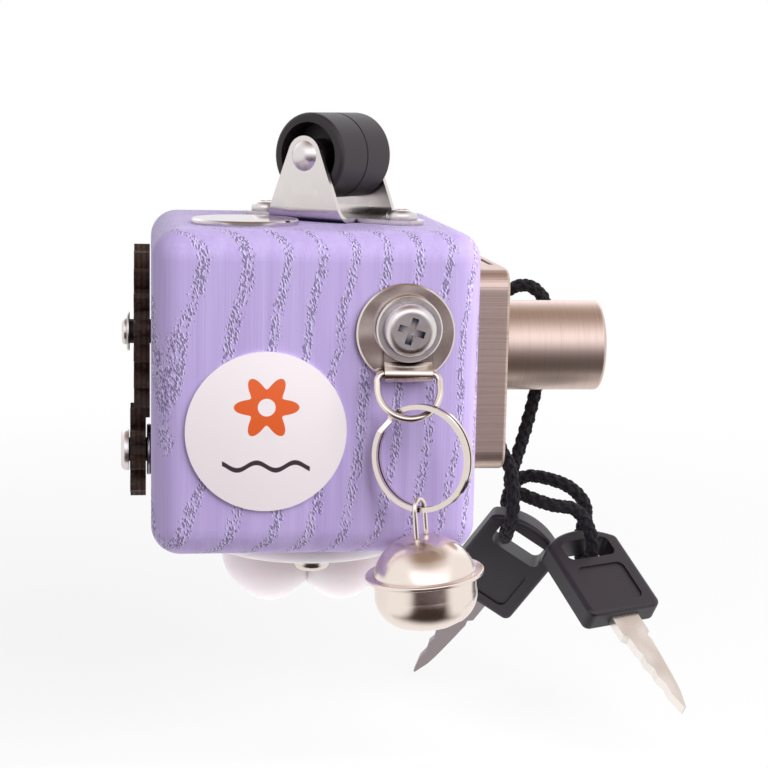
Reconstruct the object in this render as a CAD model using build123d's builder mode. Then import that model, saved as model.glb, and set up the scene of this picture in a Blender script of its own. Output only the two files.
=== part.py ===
from build123d import *
import os
from math import acos, cos, pi, radians, sin, tan

os.makedirs("parts", exist_ok=True)

# Wooden cube
cube_side = 60
cube_round = 5.4
half = cube_side / 2

# General clearances and cuts
cut_overrun = 1
pilot_ease = 0.03
pin_ease = 0.06
running_ease = 0.05
part_gap = 0.3

# Badge on the front face
badge_radius = 14.6
badge_edge = 0.7
badge_crown = 0.7
badge_place = (-9.4, -6.2)

# Hanger on the front face: big washer, strap, small washer and screw
hanger_x = 15.9
hanger_rise = 42.9
big_washer_radius = 9
big_washer_bore = 3.3
big_washer_thick = 1.2
big_washer_shift = (-0.3, -1.0)
small_washer_radius = 6
small_washer_bore = 2.2
small_washer_thick = 1.1
washer_bevel = 0.25
strap_leaf = 0.7
strap_width = 8.7
strap_rise = 4.3
strap_corner = 1.6
eye_drop = 8.2
hanger_head_radius = 4.7
hanger_head_height = 2.5
hanger_head_round = 1.4
hanger_shank_radius = 2.0
hanger_shank_length = 12

# D-ring in the strap's eye, leaning outwards
d_wire = 0.65
d_half_width = 5.7
d_corner = 1.3
d_drop = 8.47
d_lean = 27.7

# Split ring: two turns of flat wire with a slanted step between them
ring_radius = 9.7
ring_wire_width = 0.9
ring_wire_thick = 0.75
ring_turn_gap = 0.45
ring_yaw = 36
ring_step_angle = 135
ring_step_arc = 20
ring_lean = 3
ring_side_shift = 2.1
ring_stand_off = 7.7
ring_drop = 14.4

# Jingle bell under the split ring
bell_lean = 5.8
bell_radius = 9.3
bell_wall = 0.45
bell_neck = 5.1
bell_crown_flat = 2.4
bell_shoulder_radius = 7.1
bell_shoulder_drop = 2.5
bell_upper_height = 6.4
bell_lower_height = 9.0
bell_straight_drop = 2.8
bell_haunch_radius = 8.1
bell_haunch_drop = 6.9
bell_foot_flat = 4.2
bell_haunch_wall_share = 0.7
bell_flange_radius = 10.8
bell_flange_thick = 0.4
bell_flange_round = 0.3
bell_slot_width = 1.8
bell_slot_reach = 5.4
bell_slot_eye = 1.9
bell_slot_turn = 48
loop_wire = 0.45
loop_radius = 1.85
loop_tail = 1.3
pea_radius = 2.5
pea_gap = 0.28

# Caster on the top face
caster_place = (5.2, 1.5)
caster_turn = 42
bracket_sheet = 0.9
bracket_inner = 17.1
bracket_length = 17.6
bracket_bend = 2.6
tab_reach = 16.4
tab_radius = 4.2
caster_axle_height = 12.5
ear_top_radius = 3.8
axle_radius = 1.5
axle_head_radius = 2.9
axle_head_height = 1.4
wheel_radius = 8.2
wheel_width = 16.4
wheel_round = 0.9
wheel_rim = 1.8
wheel_hub_radius = 3.2
wheel_recess = 5
wheel_seam_width = 0.5
wheel_seam_depth = 0.1
caster_head_radius = 3.0
caster_head_height = 1.9
caster_shank_radius = 1.5
caster_shank_length = 9

# Mirror disc on the top face
mirror_radius = 10.1
mirror_thick = 1.0
mirror_bevel = 0.3
mirror_place = (-12.5, -12)

# Plywood gears on the left face
gear_module = 1.72
gear_addendum_share = 0.86
gear_dedendum_share = 1.2
gear_pressure_angle = 25
gear_backlash = 0.5
gear_spread = 0.15
large_teeth = 18
small_teeth = 9
gear_thick = 3.0
large_gear_z = 8.0
large_gear_lift = 0.2
spacer_radius = 5
spacer_thick = 0.8
bush_radius = 2.35
bush_bore = 1.6
large_bush_length = 4.1
small_bush_length = 4.3
gear_washer_radius = 3.8
gear_washer_thick = 0.5
gear_screw_shank = 1.5
gear_screw_depth = 14
large_screw_head_radius = 2.6
large_screw_head_height = 1.0
small_screw_head_radius = 4.1
small_screw_head_height = 1.5

# Drawer lock on the right face
lock_z = 2.6
lock_width = 33
lock_height = 39
lock_corner = 4
lock_plate_thick = 0.8
lock_depth = 7.6
lock_wall = 1.2
lock_front_wall = 1.5
lock_edge_round = 0.7
barrel_z = 5.5
barrel_radius = 8.95
barrel_length = 21.2
barrel_round = 0.7
plug_radius = 6
plug_recess = 0.3
keyway_width = 2.5
keyway_height = 8.6
keyway_depth = 20
drive_pin_radius = 1.5
drive_pin_throw = 4
bolt_width = 17.6
bolt_height = 18
bolt_tongue_width = 12
drive_slot_slack = 1.15
wafer_count = 4
wafer_thick = 1.0
wafer_pitch = 3
wafer_width = 4.6
wafer_height = 11.2
wafer_ease = 0.1
lock_screw_inset = 3.8
lock_boss_radius = 3.5
lock_screw_radius = 1.5
lock_screw_head = 3.1
lock_screw_length = 9
countersink_angle = 90

# Push-bubble pad on the bottom face
pad_place = (0.6, 1.0)
pad_radius = 20
pad_thick = 3.6
pad_round = 1.2
bubble_spacing = 14.1
bubble_radius = 9.6
bubble_shoulder_radius = 9.3
bubble_shoulder = 4.4
bubble_tip_radius = 3.6
bubble_tip_height = 10.9
bubble_height = 12.4
bubble_travel = 5
bubble_ease = 0.3
pad_screw_reach = 13.3
pad_head_radius = 3.9
pad_head_height = 2.4
pad_shank_radius = 1.6
pad_shank_length = 12

# Cross recess shared by the screw heads
recess_arm_share = 0.52
recess_width_share = 0.13
recess_depth_share = 0.55
recess_turn = 17
head_round_share = 0.7

# Screw eye behind the lock, with the cord's knot on it
eye_beside_lock = 5.0
eye_z = 11
eye_wire = 1.0
eye_stem_radius = 0.9
eye_ring_radius = 3.2
eye_stem = 2.6
eye_thread = 9
knot_radius = 3.7
knot_girth = 1.5

# Keys: moulded head with a slot, and a flat blade
key_head_half_width = 8.4
key_head_bottom = 16.6
key_head_shoulder = 2.3
key_head_top = 5.3
key_head_thick = 5
key_head_round = 0.9
key_corner = 1.5
key_slot_length = 11.4
key_slot_width = 5.0
key_slot_corner = 1.5
key_panel_width = 11
key_panel_height = 9.6
key_panel_depth = 0.4
key_panel_offset = 9.4
key_blade_thick = 1.9
key_blade_tip = 40.2
key_blade_tang = 6
key_blade_half_width = 3.2
blade_length_shares = (0.0, 0.37, 0.40, 0.44, 0.50, 0.55, 0.61, 0.67, 0.73, 0.80, 0.88, 1.0)
blade_near_shares = (0.9, 0.9, 0.62, 0.72, 0.68, 0.66, 0.62, 0.58, 0.54, 0.48, 0.38, 0.06)
blade_far_shares = (1.0, 1.0, 0.70, 0.68, 0.66, 0.52, 0.62, 0.36, 0.46, 0.24, 0.30, 0.04)
key_bar_offset = 3.9
key_1_out = 27.0
key_1_forward = 4.0
key_1_below = 7.2
key_1_across_shares = (0.937, 0.349, 0.026)
key_1_along_shares = (0.307, -0.783, -0.540)
key_2_out = 15.9
key_2_back = 6.0
key_2_below = 6.3
key_2_across_shares = (0.834, -0.097, -0.544)
key_2_along_shares = (-0.479, 0.361, -0.800)

# Braided cord from the knot, through both keys' slots and back to the knot
cord_diameter = 3.0
cord_bend_share = 0.45
cord_points = [
    (42.0, 20.6, 12.4),
    (45.2, 18.8, 15.4),
    (49.2, 16.6, 15.8),
    (52.2, 14.4, 11.6),
    (51.6, 13.6, 3.5),
    (49.8, 13.2, -5.5),
    (47.4, 11.4, -14.0),
    (44.6, 8.0, -20.5),
    (42.2, 3.2, -24.4),
    (46.0, -0.9, -25.6),
    (50.2, -4.6, -26.6),
    (55.6, -3.4, -27.2),
    (58.6, -6.3, -33.2),
    (58.5, -0.7, -41.4),
    (57.8, 6.5, -36.8),
    (59.6, 2.6, -29.2),
    (56.0, 3.4, -24.4),
    (50.6, 6.6, -23.0),
    (46.6, 10.6, -23.4),
    (44.5, 16.0, -29.2),
    (44.4, 10.9, -32.9),
    (41.3, 1.3, -36.0),
    (42.2, -5.0, -27.4),
    (42.4, 0.6, -19.4),
    (41.2, 7.4, -17.2),
    (42.2, 14.8, -14.2),
    (43.0, 19.8, -7.6),
    (42.8, 21.9, 0.8),
    (42.0, 22.0, 8.8),
]

# Planes on the cube's faces, each facing outwards with Z up where it can be
front_face = Plane(origin=(0, -half, 0), x_dir=(1, 0, 0), z_dir=(0, -1, 0))
left_face = Plane(origin=(-half, 0, 0), x_dir=(0, -1, 0), z_dir=(-1, 0, 0))
right_face = Plane(origin=(half, 0, 0), x_dir=(0, 1, 0), z_dir=(1, 0, 0))
top_face = Plane(origin=(0, 0, half), x_dir=(1, 0, 0), z_dir=(0, 0, 1))
bottom_face = Plane(origin=(0, 0, -half), x_dir=(1, 0, 0), z_dir=(0, 0, -1))

# Places shared by several pieces
hanger_z = hanger_rise - half
eye_y = lock_width / 2 + eye_beside_lock
ring_centre = Vector(hanger_x + ring_side_shift, -half - ring_stand_off, hanger_z - eye_drop - ring_drop)
key_1_slot = Vector(half + key_1_out, -key_1_forward, -half - key_1_below)
key_2_slot = Vector(half + key_2_out, key_2_back, -half - key_2_below)
hanger_place = (hanger_x, hanger_z)
large_gear_place = (0, large_gear_z)
gear_centres = gear_module * (large_teeth + small_teeth) / 2 + gear_spread
small_gear_place = (0, large_gear_z - gear_centres)
lock_screw_places = [
    (side * (lock_width / 2 - lock_screw_inset), lock_z + rise * (lock_height / 2 - lock_screw_inset))
    for side in (-1, 1)
    for rise in (-1, 1)
]
pad_screw_places = [(pad_place[0], pad_place[1] + side * pad_screw_reach) for side in (-1, 1)]
bubble_places = [(pad_place[0] + side * bubble_spacing / 2, pad_place[1]) for side in (-1, 1)]
caster_along = Vector(cos(radians(caster_turn)), -sin(radians(caster_turn)), 0)
caster_plane = Plane(origin=(*caster_place, half), x_dir=caster_along, z_dir=(0, 0, 1))
tab_places = [(-tab_reach, 0), (tab_reach, 0)]


def write(piece, name):
    """Labels a finished piece and writes it as one STEP file."""
    piece.part.label = name
    export_step(piece.part, f"parts/{name}.step")


def screws(plane, places, seat, head_radius, head_height, shank_radius, shank_length, head_round):
    """Round-headed cross-recess screws whose heads sit on the plane raised by seat."""
    with BuildPart() as group:
        with BuildSketch(plane.offset(seat)):
            with Locations(*places):
                Circle(head_radius)
        extrude(amount=head_height)
        crowns = group.faces().group_by(Axis(plane.origin, plane.z_dir))[-1]
        fillet(crowns.edges(), head_round)
        with BuildSketch(plane.offset(seat)):
            with Locations(*places):
                Circle(shank_radius)
        extrude(amount=-(seat + shank_length))
        with BuildSketch(plane.offset(seat + head_height)):
            with Locations(*places):
                Rectangle(2 * recess_arm_share * head_radius, 2 * recess_width_share * head_radius)
                Rectangle(2 * recess_width_share * head_radius, 2 * recess_arm_share * head_radius)
        extrude(amount=-recess_depth_share * head_height, mode=Mode.SUBTRACT)
    return group


def washer(plane, place, seat, radius, bore, thick):
    """Flat washer lying on the plane raised by seat."""
    with BuildPart() as ring:
        with BuildSketch(plane.offset(seat)):
            with Locations(place):
                Circle(radius)
                Circle(bore, mode=Mode.SUBTRACT)
        extrude(amount=thick)
        chamfer(ring.edges().filter_by(GeomType.CIRCLE).sort_by(SortBy.RADIUS)[-2:], washer_bevel * thick)
    return ring


# Wooden cube with pilot holes, and the pocket that the push bubbles move into
with BuildPart() as wooden_cube:
    Box(cube_side, cube_side, cube_side)
    fillet(wooden_cube.edges(), cube_round)
    with BuildSketch(front_face):
        with Locations(hanger_place):
            Circle(hanger_shank_radius + pilot_ease)
    extrude(amount=-hanger_shank_length - part_gap, mode=Mode.SUBTRACT)
    with BuildSketch(caster_plane):
        with Locations(*tab_places):
            Circle(caster_shank_radius + pilot_ease)
    extrude(amount=-caster_shank_length - part_gap, mode=Mode.SUBTRACT)
    with BuildSketch(left_face):
        with Locations(large_gear_place, small_gear_place):
            Circle(gear_screw_shank + pilot_ease)
    extrude(amount=-gear_screw_depth - part_gap, mode=Mode.SUBTRACT)
    with BuildSketch(right_face):
        with Locations(*lock_screw_places):
            Circle(lock_screw_radius + pilot_ease)
    extrude(amount=-lock_screw_length - part_gap, mode=Mode.SUBTRACT)
    with BuildSketch(right_face):
        with Locations((eye_y, eye_z)):
            Circle(eye_stem_radius + pilot_ease)
    extrude(amount=-eye_thread - part_gap, mode=Mode.SUBTRACT)
    with BuildSketch(bottom_face):
        with Locations(*pad_screw_places):
            Circle(pad_shank_radius + pilot_ease)
    extrude(amount=-pad_shank_length - part_gap, mode=Mode.SUBTRACT)
    with BuildSketch(bottom_face):
        with Locations(*bubble_places):
            Circle(bubble_radius + bubble_ease)
    extrude(amount=-bubble_travel - part_gap, mode=Mode.SUBTRACT)
write(wooden_cube, "wooden_cube")

# Badge: a disc with a low domed face
badge_dome_radius = (badge_radius**2 + badge_crown**2) / (2 * badge_crown)
with BuildPart() as badge:
    badge_section = Plane(
        origin=(badge_place[0], -half, badge_place[1]), x_dir=(1, 0, 0), z_dir=(0, 0, -1)
    )
    with BuildSketch(badge_section):
        with BuildLine():
            Polyline((0, 0), (badge_radius, 0), (badge_radius, badge_edge))
            RadiusArc((badge_radius, badge_edge), (0, badge_edge + badge_crown), -badge_dome_radius)
            Line((0, badge_edge + badge_crown), (0, 0))
        make_face()
    revolve(axis=Axis((badge_place[0], -half, badge_place[1]), (0, 1, 0)))
write(badge, "badge")

# Hanger stack on the front face, from the wood outwards
strap_thick = 2 * strap_leaf
strap_seat = big_washer_thick
small_washer_seat = strap_seat + strap_thick
hanger_head_seat = small_washer_seat + small_washer_thick
eye_bore = d_wire + pin_ease
eye_outer = eye_bore + strap_leaf
eye_out = strap_seat + eye_outer + running_ease
big_washer_place = (hanger_x + big_washer_shift[0], hanger_z + big_washer_shift[1])

hanger_washer_large = washer(
    front_face, big_washer_place, 0, big_washer_radius, big_washer_bore, big_washer_thick
)
write(hanger_washer_large, "hanger_washer_large")

with BuildPart() as hanger_strap:
    strap_side = Plane(
        origin=(hanger_x + strap_width / 2, -half, hanger_z), x_dir=(0, -1, 0), z_dir=(-1, 0, 0)
    )
    with BuildSketch(strap_side):
        with Locations((strap_seat + strap_leaf, -small_washer_radius - strap_leaf / 2)):
            Rectangle(strap_thick, strap_leaf)
        with Locations((eye_out, -eye_drop)):
            Circle(eye_outer)
        make_hull()
    extrude(amount=strap_width)
    with BuildSketch(strap_side):
        with Locations((strap_seat + strap_leaf, -small_washer_radius - strap_leaf)):
            Circle(running_ease)
        with Locations((eye_out, -eye_drop)):
            Circle(eye_bore)
        make_hull()
    extrude(amount=strap_width, mode=Mode.SUBTRACT)
    with BuildSketch(strap_side):
        with Locations((strap_seat + strap_leaf, (strap_rise - small_washer_radius) / 2)):
            Rectangle(strap_thick, strap_rise + small_washer_radius)
    extrude(amount=strap_width)
    upright = hanger_strap.edges().filter_by(Axis.Y).group_by(Axis.Z)[-1]
    fillet(upright, strap_corner)
    with BuildSketch(front_face.offset(strap_seat - cut_overrun)):
        with Locations(hanger_place):
            Circle(small_washer_bore)
    extrude(amount=strap_thick + 2 * cut_overrun, mode=Mode.SUBTRACT)
write(hanger_strap, "hanger_strap")

hanger_washer_small = washer(
    front_face, hanger_place, small_washer_seat, small_washer_radius, small_washer_bore, small_washer_thick
)
write(hanger_washer_small, "hanger_washer_small")

hanger_screw = screws(
    Plane(
        origin=(hanger_x, -half, hanger_z),
        x_dir=(cos(radians(recess_turn)), 0, -sin(radians(recess_turn))),
        z_dir=(0, -1, 0),
    ),
    [(0, 0)],
    hanger_head_seat,
    hanger_head_radius,
    hanger_head_height,
    hanger_shank_radius,
    hanger_shank_length,
    hanger_head_round,
)
write(hanger_screw, "hanger_screw")

# D-ring: a straight bar in the strap's eye, short sides and a half circle below
d_lean_sin = sin(radians(d_lean))
d_lean_cos = cos(radians(d_lean))
d_bar = Vector(hanger_x, -half - eye_out, hanger_z - eye_drop)
d_plane = Plane(origin=d_bar, x_dir=(1, 0, 0), z_dir=(0, -d_lean_cos, d_lean_sin))
d_straight = d_half_width - d_corner
d_centre_drop = d_drop - d_half_width
with BuildPart() as d_ring:
    with BuildLine(d_plane) as d_path:
        Line((-d_straight, 0), (d_straight, 0))
        CenterArc((d_straight, -d_corner), d_corner, 90, -90)
        Line((d_half_width, -d_corner), (d_half_width, -d_centre_drop))
        CenterArc((0, -d_centre_drop), d_half_width, 0, -180)
        Line((-d_half_width, -d_centre_drop), (-d_half_width, -d_corner))
        CenterArc((-d_straight, -d_corner), d_corner, 180, -90)
    with BuildSketch(Plane(origin=d_bar - (d_straight, 0, 0), z_dir=(1, 0, 0))):
        Circle(d_wire)
    sweep()
write(d_ring, "d_ring")

# Split ring: two open turns side by side, joined by the slanted step
ring_along = Vector(cos(radians(ring_yaw)), -sin(radians(ring_yaw)), 0)
ring_inwards = Vector(sin(radians(ring_yaw)), cos(radians(ring_yaw)), 0)
ring_up = ring_inwards * sin(radians(ring_lean)) + Vector(0, 0, 1) * cos(radians(ring_lean))
ring_normal = ring_along.cross(ring_up)
ring_mid = ring_radius - ring_wire_width / 2
ring_pitch = ring_wire_thick + ring_turn_gap


def ring_section(angle):
    """Radial plane of the split ring at an angle counted from its near side upwards."""
    outwards = ring_along * cos(radians(angle)) + ring_up * sin(radians(angle))
    return Plane(origin=ring_centre, x_dir=outwards, z_dir=outwards.cross(ring_normal))


ring_open_angle = ring_step_angle + ring_step_arc
with BuildPart() as split_ring:
    for side in (-1, 1):
        with BuildSketch(ring_section(ring_open_angle)):
            with Locations((ring_mid, side * ring_pitch / 2)):
                Rectangle(ring_wire_width, ring_wire_thick)
        revolve(axis=Axis(ring_centre, ring_normal), revolution_arc=360 - ring_step_arc)
    with BuildSketch(ring_section(ring_step_angle)):
        with Locations((ring_mid, -ring_pitch / 2)):
            Rectangle(ring_wire_width, ring_wire_thick)
    with BuildSketch(ring_section(ring_open_angle)):
        with Locations((ring_mid, ring_pitch / 2)):
            Rectangle(ring_wire_width, ring_wire_thick)
    loft(ruled=True)
write(split_ring, "split_ring")
print("split ring: gap between turns", ring_turn_gap, "solids", len(split_ring.solids()))

# Jingle bell, hung by a wire loop from the lowest point of the split ring
bell_hang = ring_centre - ring_up * ring_mid
bell_up = Vector(-sin(radians(bell_lean)), 0, cos(radians(bell_lean)))
bell_side = Vector(cos(radians(bell_lean)), 0, sin(radians(bell_lean)))
bell_section = Plane(origin=bell_hang, x_dir=bell_side, z_dir=(0, -1, 0))
slot_along = bell_side * cos(radians(bell_slot_turn)) - Vector(0, 1, 0) * sin(radians(bell_slot_turn))
slot_plane = Plane(origin=bell_hang, x_dir=slot_along, z_dir=bell_up)
bell_axis = Axis(bell_hang, bell_up)
bell_seam = bell_neck + bell_upper_height + bell_flange_thick
bell_inner = bell_radius - bell_wall
bell_bottom = bell_seam + bell_flange_thick + bell_lower_height
loop_normal = ring_inwards.cross(bell_up).normalized()
loop_plane = Plane(origin=bell_hang, x_dir=bell_up.cross(loop_normal), z_dir=loop_normal)
loop_leg = bell_neck + loop_tail

with BuildPart() as bell_upper:
    upper_seat = -bell_seam + bell_flange_thick
    with BuildSketch(bell_section):
        with BuildLine():
            ThreePointArc(
                (bell_radius, upper_seat),
                (bell_shoulder_radius, -bell_neck - bell_shoulder_drop),
                (bell_crown_flat, -bell_neck),
            )
            Polyline(
                (bell_crown_flat, -bell_neck),
                (0, -bell_neck),
                (0, -bell_neck - bell_wall),
                (bell_crown_flat, -bell_neck - bell_wall),
            )
            ThreePointArc(
                (bell_crown_flat, -bell_neck - bell_wall),
                (bell_shoulder_radius - bell_wall / 2, -bell_neck - bell_shoulder_drop - bell_wall),
                (bell_inner, upper_seat),
            )
            Polyline(
                (bell_inner, upper_seat),
                (bell_inner, -bell_seam),
                (bell_flange_radius, -bell_seam),
                (bell_flange_radius, upper_seat),
                (bell_radius, upper_seat),
            )
        make_face()
    revolve(axis=bell_axis)
    flange_rims = bell_upper.edges().filter_by(GeomType.CIRCLE).group_by(SortBy.RADIUS)[-1]
    fillet(flange_rims.sort_by(bell_axis)[-1], bell_flange_round)
    for side in (-1, 1):
        leg_top = loop_plane.from_local_coords((side * loop_radius, 0, 0))
        with BuildSketch(Plane(origin=leg_top, z_dir=-bell_up)):
            Circle(loop_wire + pilot_ease)
        extrude(amount=loop_leg, mode=Mode.SUBTRACT)
write(bell_upper, "bell_upper")

with BuildPart() as bell_lower:
    lower_seat = -bell_seam - bell_flange_thick
    haunch_wall = bell_haunch_wall_share * bell_wall
    with BuildSketch(bell_section):
        with BuildLine():
            Line((bell_radius, lower_seat), (bell_radius, lower_seat - bell_straight_drop))
            ThreePointArc(
                (bell_radius, lower_seat - bell_straight_drop),
                (bell_haunch_radius, lower_seat - bell_haunch_drop),
                (bell_foot_flat, -bell_bottom),
            )
            Polyline(
                (bell_foot_flat, -bell_bottom),
                (0, -bell_bottom),
                (0, -bell_bottom + bell_wall),
                (bell_foot_flat, -bell_bottom + bell_wall),
            )
            ThreePointArc(
                (bell_foot_flat, -bell_bottom + bell_wall),
                (bell_haunch_radius - haunch_wall, lower_seat - bell_haunch_drop + haunch_wall),
                (bell_inner, lower_seat - bell_straight_drop),
            )
            Line((bell_inner, lower_seat - bell_straight_drop), (bell_inner, lower_seat))
            Polyline(
                (bell_inner, lower_seat),
                (bell_inner, -bell_seam),
                (bell_flange_radius, -bell_seam),
                (bell_flange_radius, lower_seat),
                (bell_radius, lower_seat),
            )
        make_face()
    revolve(axis=bell_axis)
    flange_rims = bell_lower.edges().filter_by(GeomType.CIRCLE).group_by(SortBy.RADIUS)[-1]
    fillet(flange_rims.sort_by(bell_axis)[0], bell_flange_round)
    with BuildSketch(slot_plane.offset(-bell_bottom - cut_overrun)):
        Rectangle(2 * bell_slot_reach, bell_slot_width)
        with Locations((-bell_slot_reach, 0), (bell_slot_reach, 0)):
            Circle(bell_slot_eye)
    extrude(amount=cut_overrun + bell_lower_height, mode=Mode.SUBTRACT)
write(bell_lower, "bell_lower")

with BuildPart() as bell_loop:
    with BuildLine(loop_plane) as loop_path:
        Line((loop_radius, -loop_leg), (loop_radius, 0))
        CenterArc((0, 0), loop_radius, 0, 180)
        Line((-loop_radius, 0), (-loop_radius, -loop_leg))
    loop_foot = loop_plane.from_local_coords((loop_radius, -loop_leg, 0))
    with BuildSketch(Plane(origin=loop_foot, z_dir=bell_up)):
        Circle(loop_wire)
    sweep()
write(bell_loop, "bell_loop")

pea_centre = bell_hang - bell_up * (bell_bottom - bell_wall - pea_gap - pea_radius)
with BuildPart() as bell_pea:
    with Locations(pea_centre):
        Sphere(pea_radius)
write(bell_pea, "bell_pea")

# Caster: a folded bracket, its screws, the riveted axle and the wheel
ear_inner = bracket_inner / 2
ear_outer = ear_inner + bracket_sheet
caster_side = Plane(
    origin=caster_plane.from_local_coords((0, -ear_outer, 0)), x_dir=caster_along, z_dir=-caster_plane.y_dir
)
axle_centre = caster_plane.from_local_coords((0, 0, caster_axle_height))
axle_line = Axis(axle_centre, caster_plane.y_dir)

with BuildPart() as caster_bracket:
    with BuildSketch(caster_side):
        with Locations((0, bracket_sheet / 2)):
            Rectangle(bracket_length, bracket_sheet)
        with Locations((0, caster_axle_height)):
            Circle(ear_top_radius)
        make_hull()
    extrude(amount=-2 * ear_outer)
    with BuildSketch(caster_plane.offset(bracket_sheet)):
        Rectangle(bracket_length + 2 * cut_overrun, bracket_inner)
    extrude(amount=caster_axle_height + ear_top_radius, mode=Mode.SUBTRACT)
    folds = caster_bracket.edges().filter_by(Axis(caster_plane.origin, caster_along)).group_by(Axis.Z)
    fillet(folds[1], bracket_bend - bracket_sheet)
    fillet(folds[0], bracket_bend)
    with BuildSketch(caster_plane):
        SlotCenterToCenter(2 * tab_reach, 2 * tab_radius)
    extrude(amount=bracket_sheet)
    with BuildSketch(caster_plane):
        with Locations(*tab_places):
            Circle(caster_shank_radius + pin_ease)
    extrude(amount=bracket_sheet, mode=Mode.SUBTRACT)
    with BuildSketch(caster_side):
        with Locations((0, caster_axle_height)):
            Circle(axle_radius + pilot_ease)
    extrude(amount=-2 * ear_outer, mode=Mode.SUBTRACT)
write(caster_bracket, "caster_bracket")

caster_screws = screws(
    caster_plane,
    tab_places,
    bracket_sheet,
    caster_head_radius,
    caster_head_height,
    caster_shank_radius,
    caster_shank_length,
    head_round_share * caster_head_height,
)
write(caster_screws, "caster_screws")

axle_dome_radius = (axle_head_radius**2 + axle_head_height**2) / (2 * axle_head_height)
axle_section = Plane(origin=axle_centre, x_dir=(0, 0, 1), z_dir=caster_along)
with BuildPart() as caster_axle:
    with BuildSketch(axle_section):
        with BuildLine():
            Line((0, -ear_outer - axle_head_height), (0, ear_outer + axle_head_height))
            for side in (-1, 1):
                RadiusArc(
                    (0, side * (ear_outer + axle_head_height)),
                    (axle_head_radius, side * ear_outer),
                    side * axle_dome_radius,
                )
                Line((axle_head_radius, side * ear_outer), (axle_radius, side * ear_outer))
            Line((axle_radius, -ear_outer), (axle_radius, ear_outer))
        make_face()
    revolve(axis=axle_line)
write(caster_axle, "caster_axle")

wheel_half = wheel_width / 2
with BuildPart() as caster_wheel:
    with BuildSketch(axle_section):
        with Locations(((wheel_radius + axle_radius + running_ease) / 2, 0)):
            Rectangle(wheel_radius - axle_radius - running_ease, wheel_width)
        recess_inner = wheel_hub_radius
        recess_outer = wheel_radius - wheel_rim
        for side in (-1, 1):
            with Locations(((recess_inner + recess_outer) / 2, side * (wheel_half - wheel_recess / 2))):
                Rectangle(recess_outer - recess_inner, wheel_recess, mode=Mode.SUBTRACT)
        with Locations((wheel_radius, 0)):
            Rectangle(2 * wheel_seam_depth, wheel_seam_width, mode=Mode.SUBTRACT)
    revolve(axis=axle_line)
    end_rings = caster_wheel.edges().filter_by(GeomType.CIRCLE).group_by(axle_line)
    for rings in (end_rings[0], end_rings[-1]):
        fillet(rings.sort_by(SortBy.RADIUS)[-1], wheel_round)
write(caster_wheel, "caster_wheel")

# Round mirror on the top face
with BuildPart() as mirror_disc:
    with BuildSketch(top_face):
        with Locations(mirror_place):
            Circle(mirror_radius)
    extrude(amount=mirror_thick)
    chamfer(mirror_disc.edges().group_by(Axis.Z)[-1], mirror_bevel)
write(mirror_disc, "mirror_disc")

# Plywood gears with involute teeth
flank_steps = 6


def gear(plane, place, teeth, lift, first_tooth):
    """Flat gear whose first tooth stands at an angle from the plane's own x axis."""
    pitch_radius = gear_module * teeth / 2
    base_radius = pitch_radius * cos(radians(gear_pressure_angle))
    tip_radius = pitch_radius + gear_addendum_share * gear_module
    root_radius = pitch_radius - gear_dedendum_share * gear_module
    involute_at_pitch = tan(radians(gear_pressure_angle)) - radians(gear_pressure_angle)
    half_tooth = (pi / 2 - gear_backlash / 2 / gear_module) / teeth
    start_radius = max(base_radius, root_radius)
    flank = []
    for step in range(flank_steps + 1):
        radius = start_radius + (tip_radius - start_radius) * step / flank_steps
        pressure = acos(base_radius / radius)
        flank.append((radius, half_tooth + involute_at_pitch - tan(pressure) + pressure))
    outline = []
    for tooth in range(teeth):
        middle = radians(first_tooth) + 2 * pi * tooth / teeth
        rising = [(root_radius, -flank[0][1])] + [(radius, -angle) for radius, angle in flank]
        falling = [(radius, angle) for radius, angle in reversed(flank)] + [(root_radius, flank[0][1])]
        for radius, angle in rising + falling:
            turned = middle + angle
            outline.append((place[0] + radius * cos(turned), place[1] + radius * sin(turned)))
    with BuildPart() as wheel:
        with BuildSketch(plane.offset(lift)):
            with BuildLine():
                Polyline(*outline, close=True)
            make_face()
            with Locations(place):
                Circle(bush_radius + running_ease, mode=Mode.SUBTRACT)
        extrude(amount=gear_thick)
    return wheel


large_gear = gear(left_face, large_gear_place, large_teeth, large_gear_lift, -90)
write(large_gear, "large_gear")
small_gear_lift = spacer_thick + large_gear_lift
small_gear = gear(left_face, small_gear_place, small_teeth, small_gear_lift, 90 + 180 / small_teeth)
write(small_gear, "small_gear")

small_gear_spacer = washer(
    left_face, small_gear_place, 0, spacer_radius, bush_radius + pin_ease, spacer_thick
)
write(small_gear_spacer, "small_gear_spacer")

for name, place, length in (
    ("large_gear_bush", large_gear_place, large_bush_length),
    ("small_gear_bush", small_gear_place, small_bush_length),
):
    with BuildPart() as bush:
        with BuildSketch(left_face):
            with Locations(place):
                Circle(bush_radius)
                Circle(bush_bore, mode=Mode.SUBTRACT)
        extrude(amount=length)
    write(bush, name)

large_gear_washer = washer(
    left_face, large_gear_place, large_bush_length, gear_washer_radius, bush_bore, gear_washer_thick
)
write(large_gear_washer, "large_gear_washer")

large_gear_screw = screws(
    left_face,
    [large_gear_place],
    large_bush_length + gear_washer_thick,
    large_screw_head_radius,
    large_screw_head_height,
    gear_screw_shank,
    gear_screw_depth,
    head_round_share * large_screw_head_height,
)
write(large_gear_screw, "large_gear_screw")

small_gear_screw = screws(
    left_face,
    [small_gear_place],
    small_bush_length,
    small_screw_head_radius,
    small_screw_head_height,
    gear_screw_shank,
    gear_screw_depth,
    head_round_share * small_screw_head_height,
)
write(small_gear_screw, "small_gear_screw")

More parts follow.
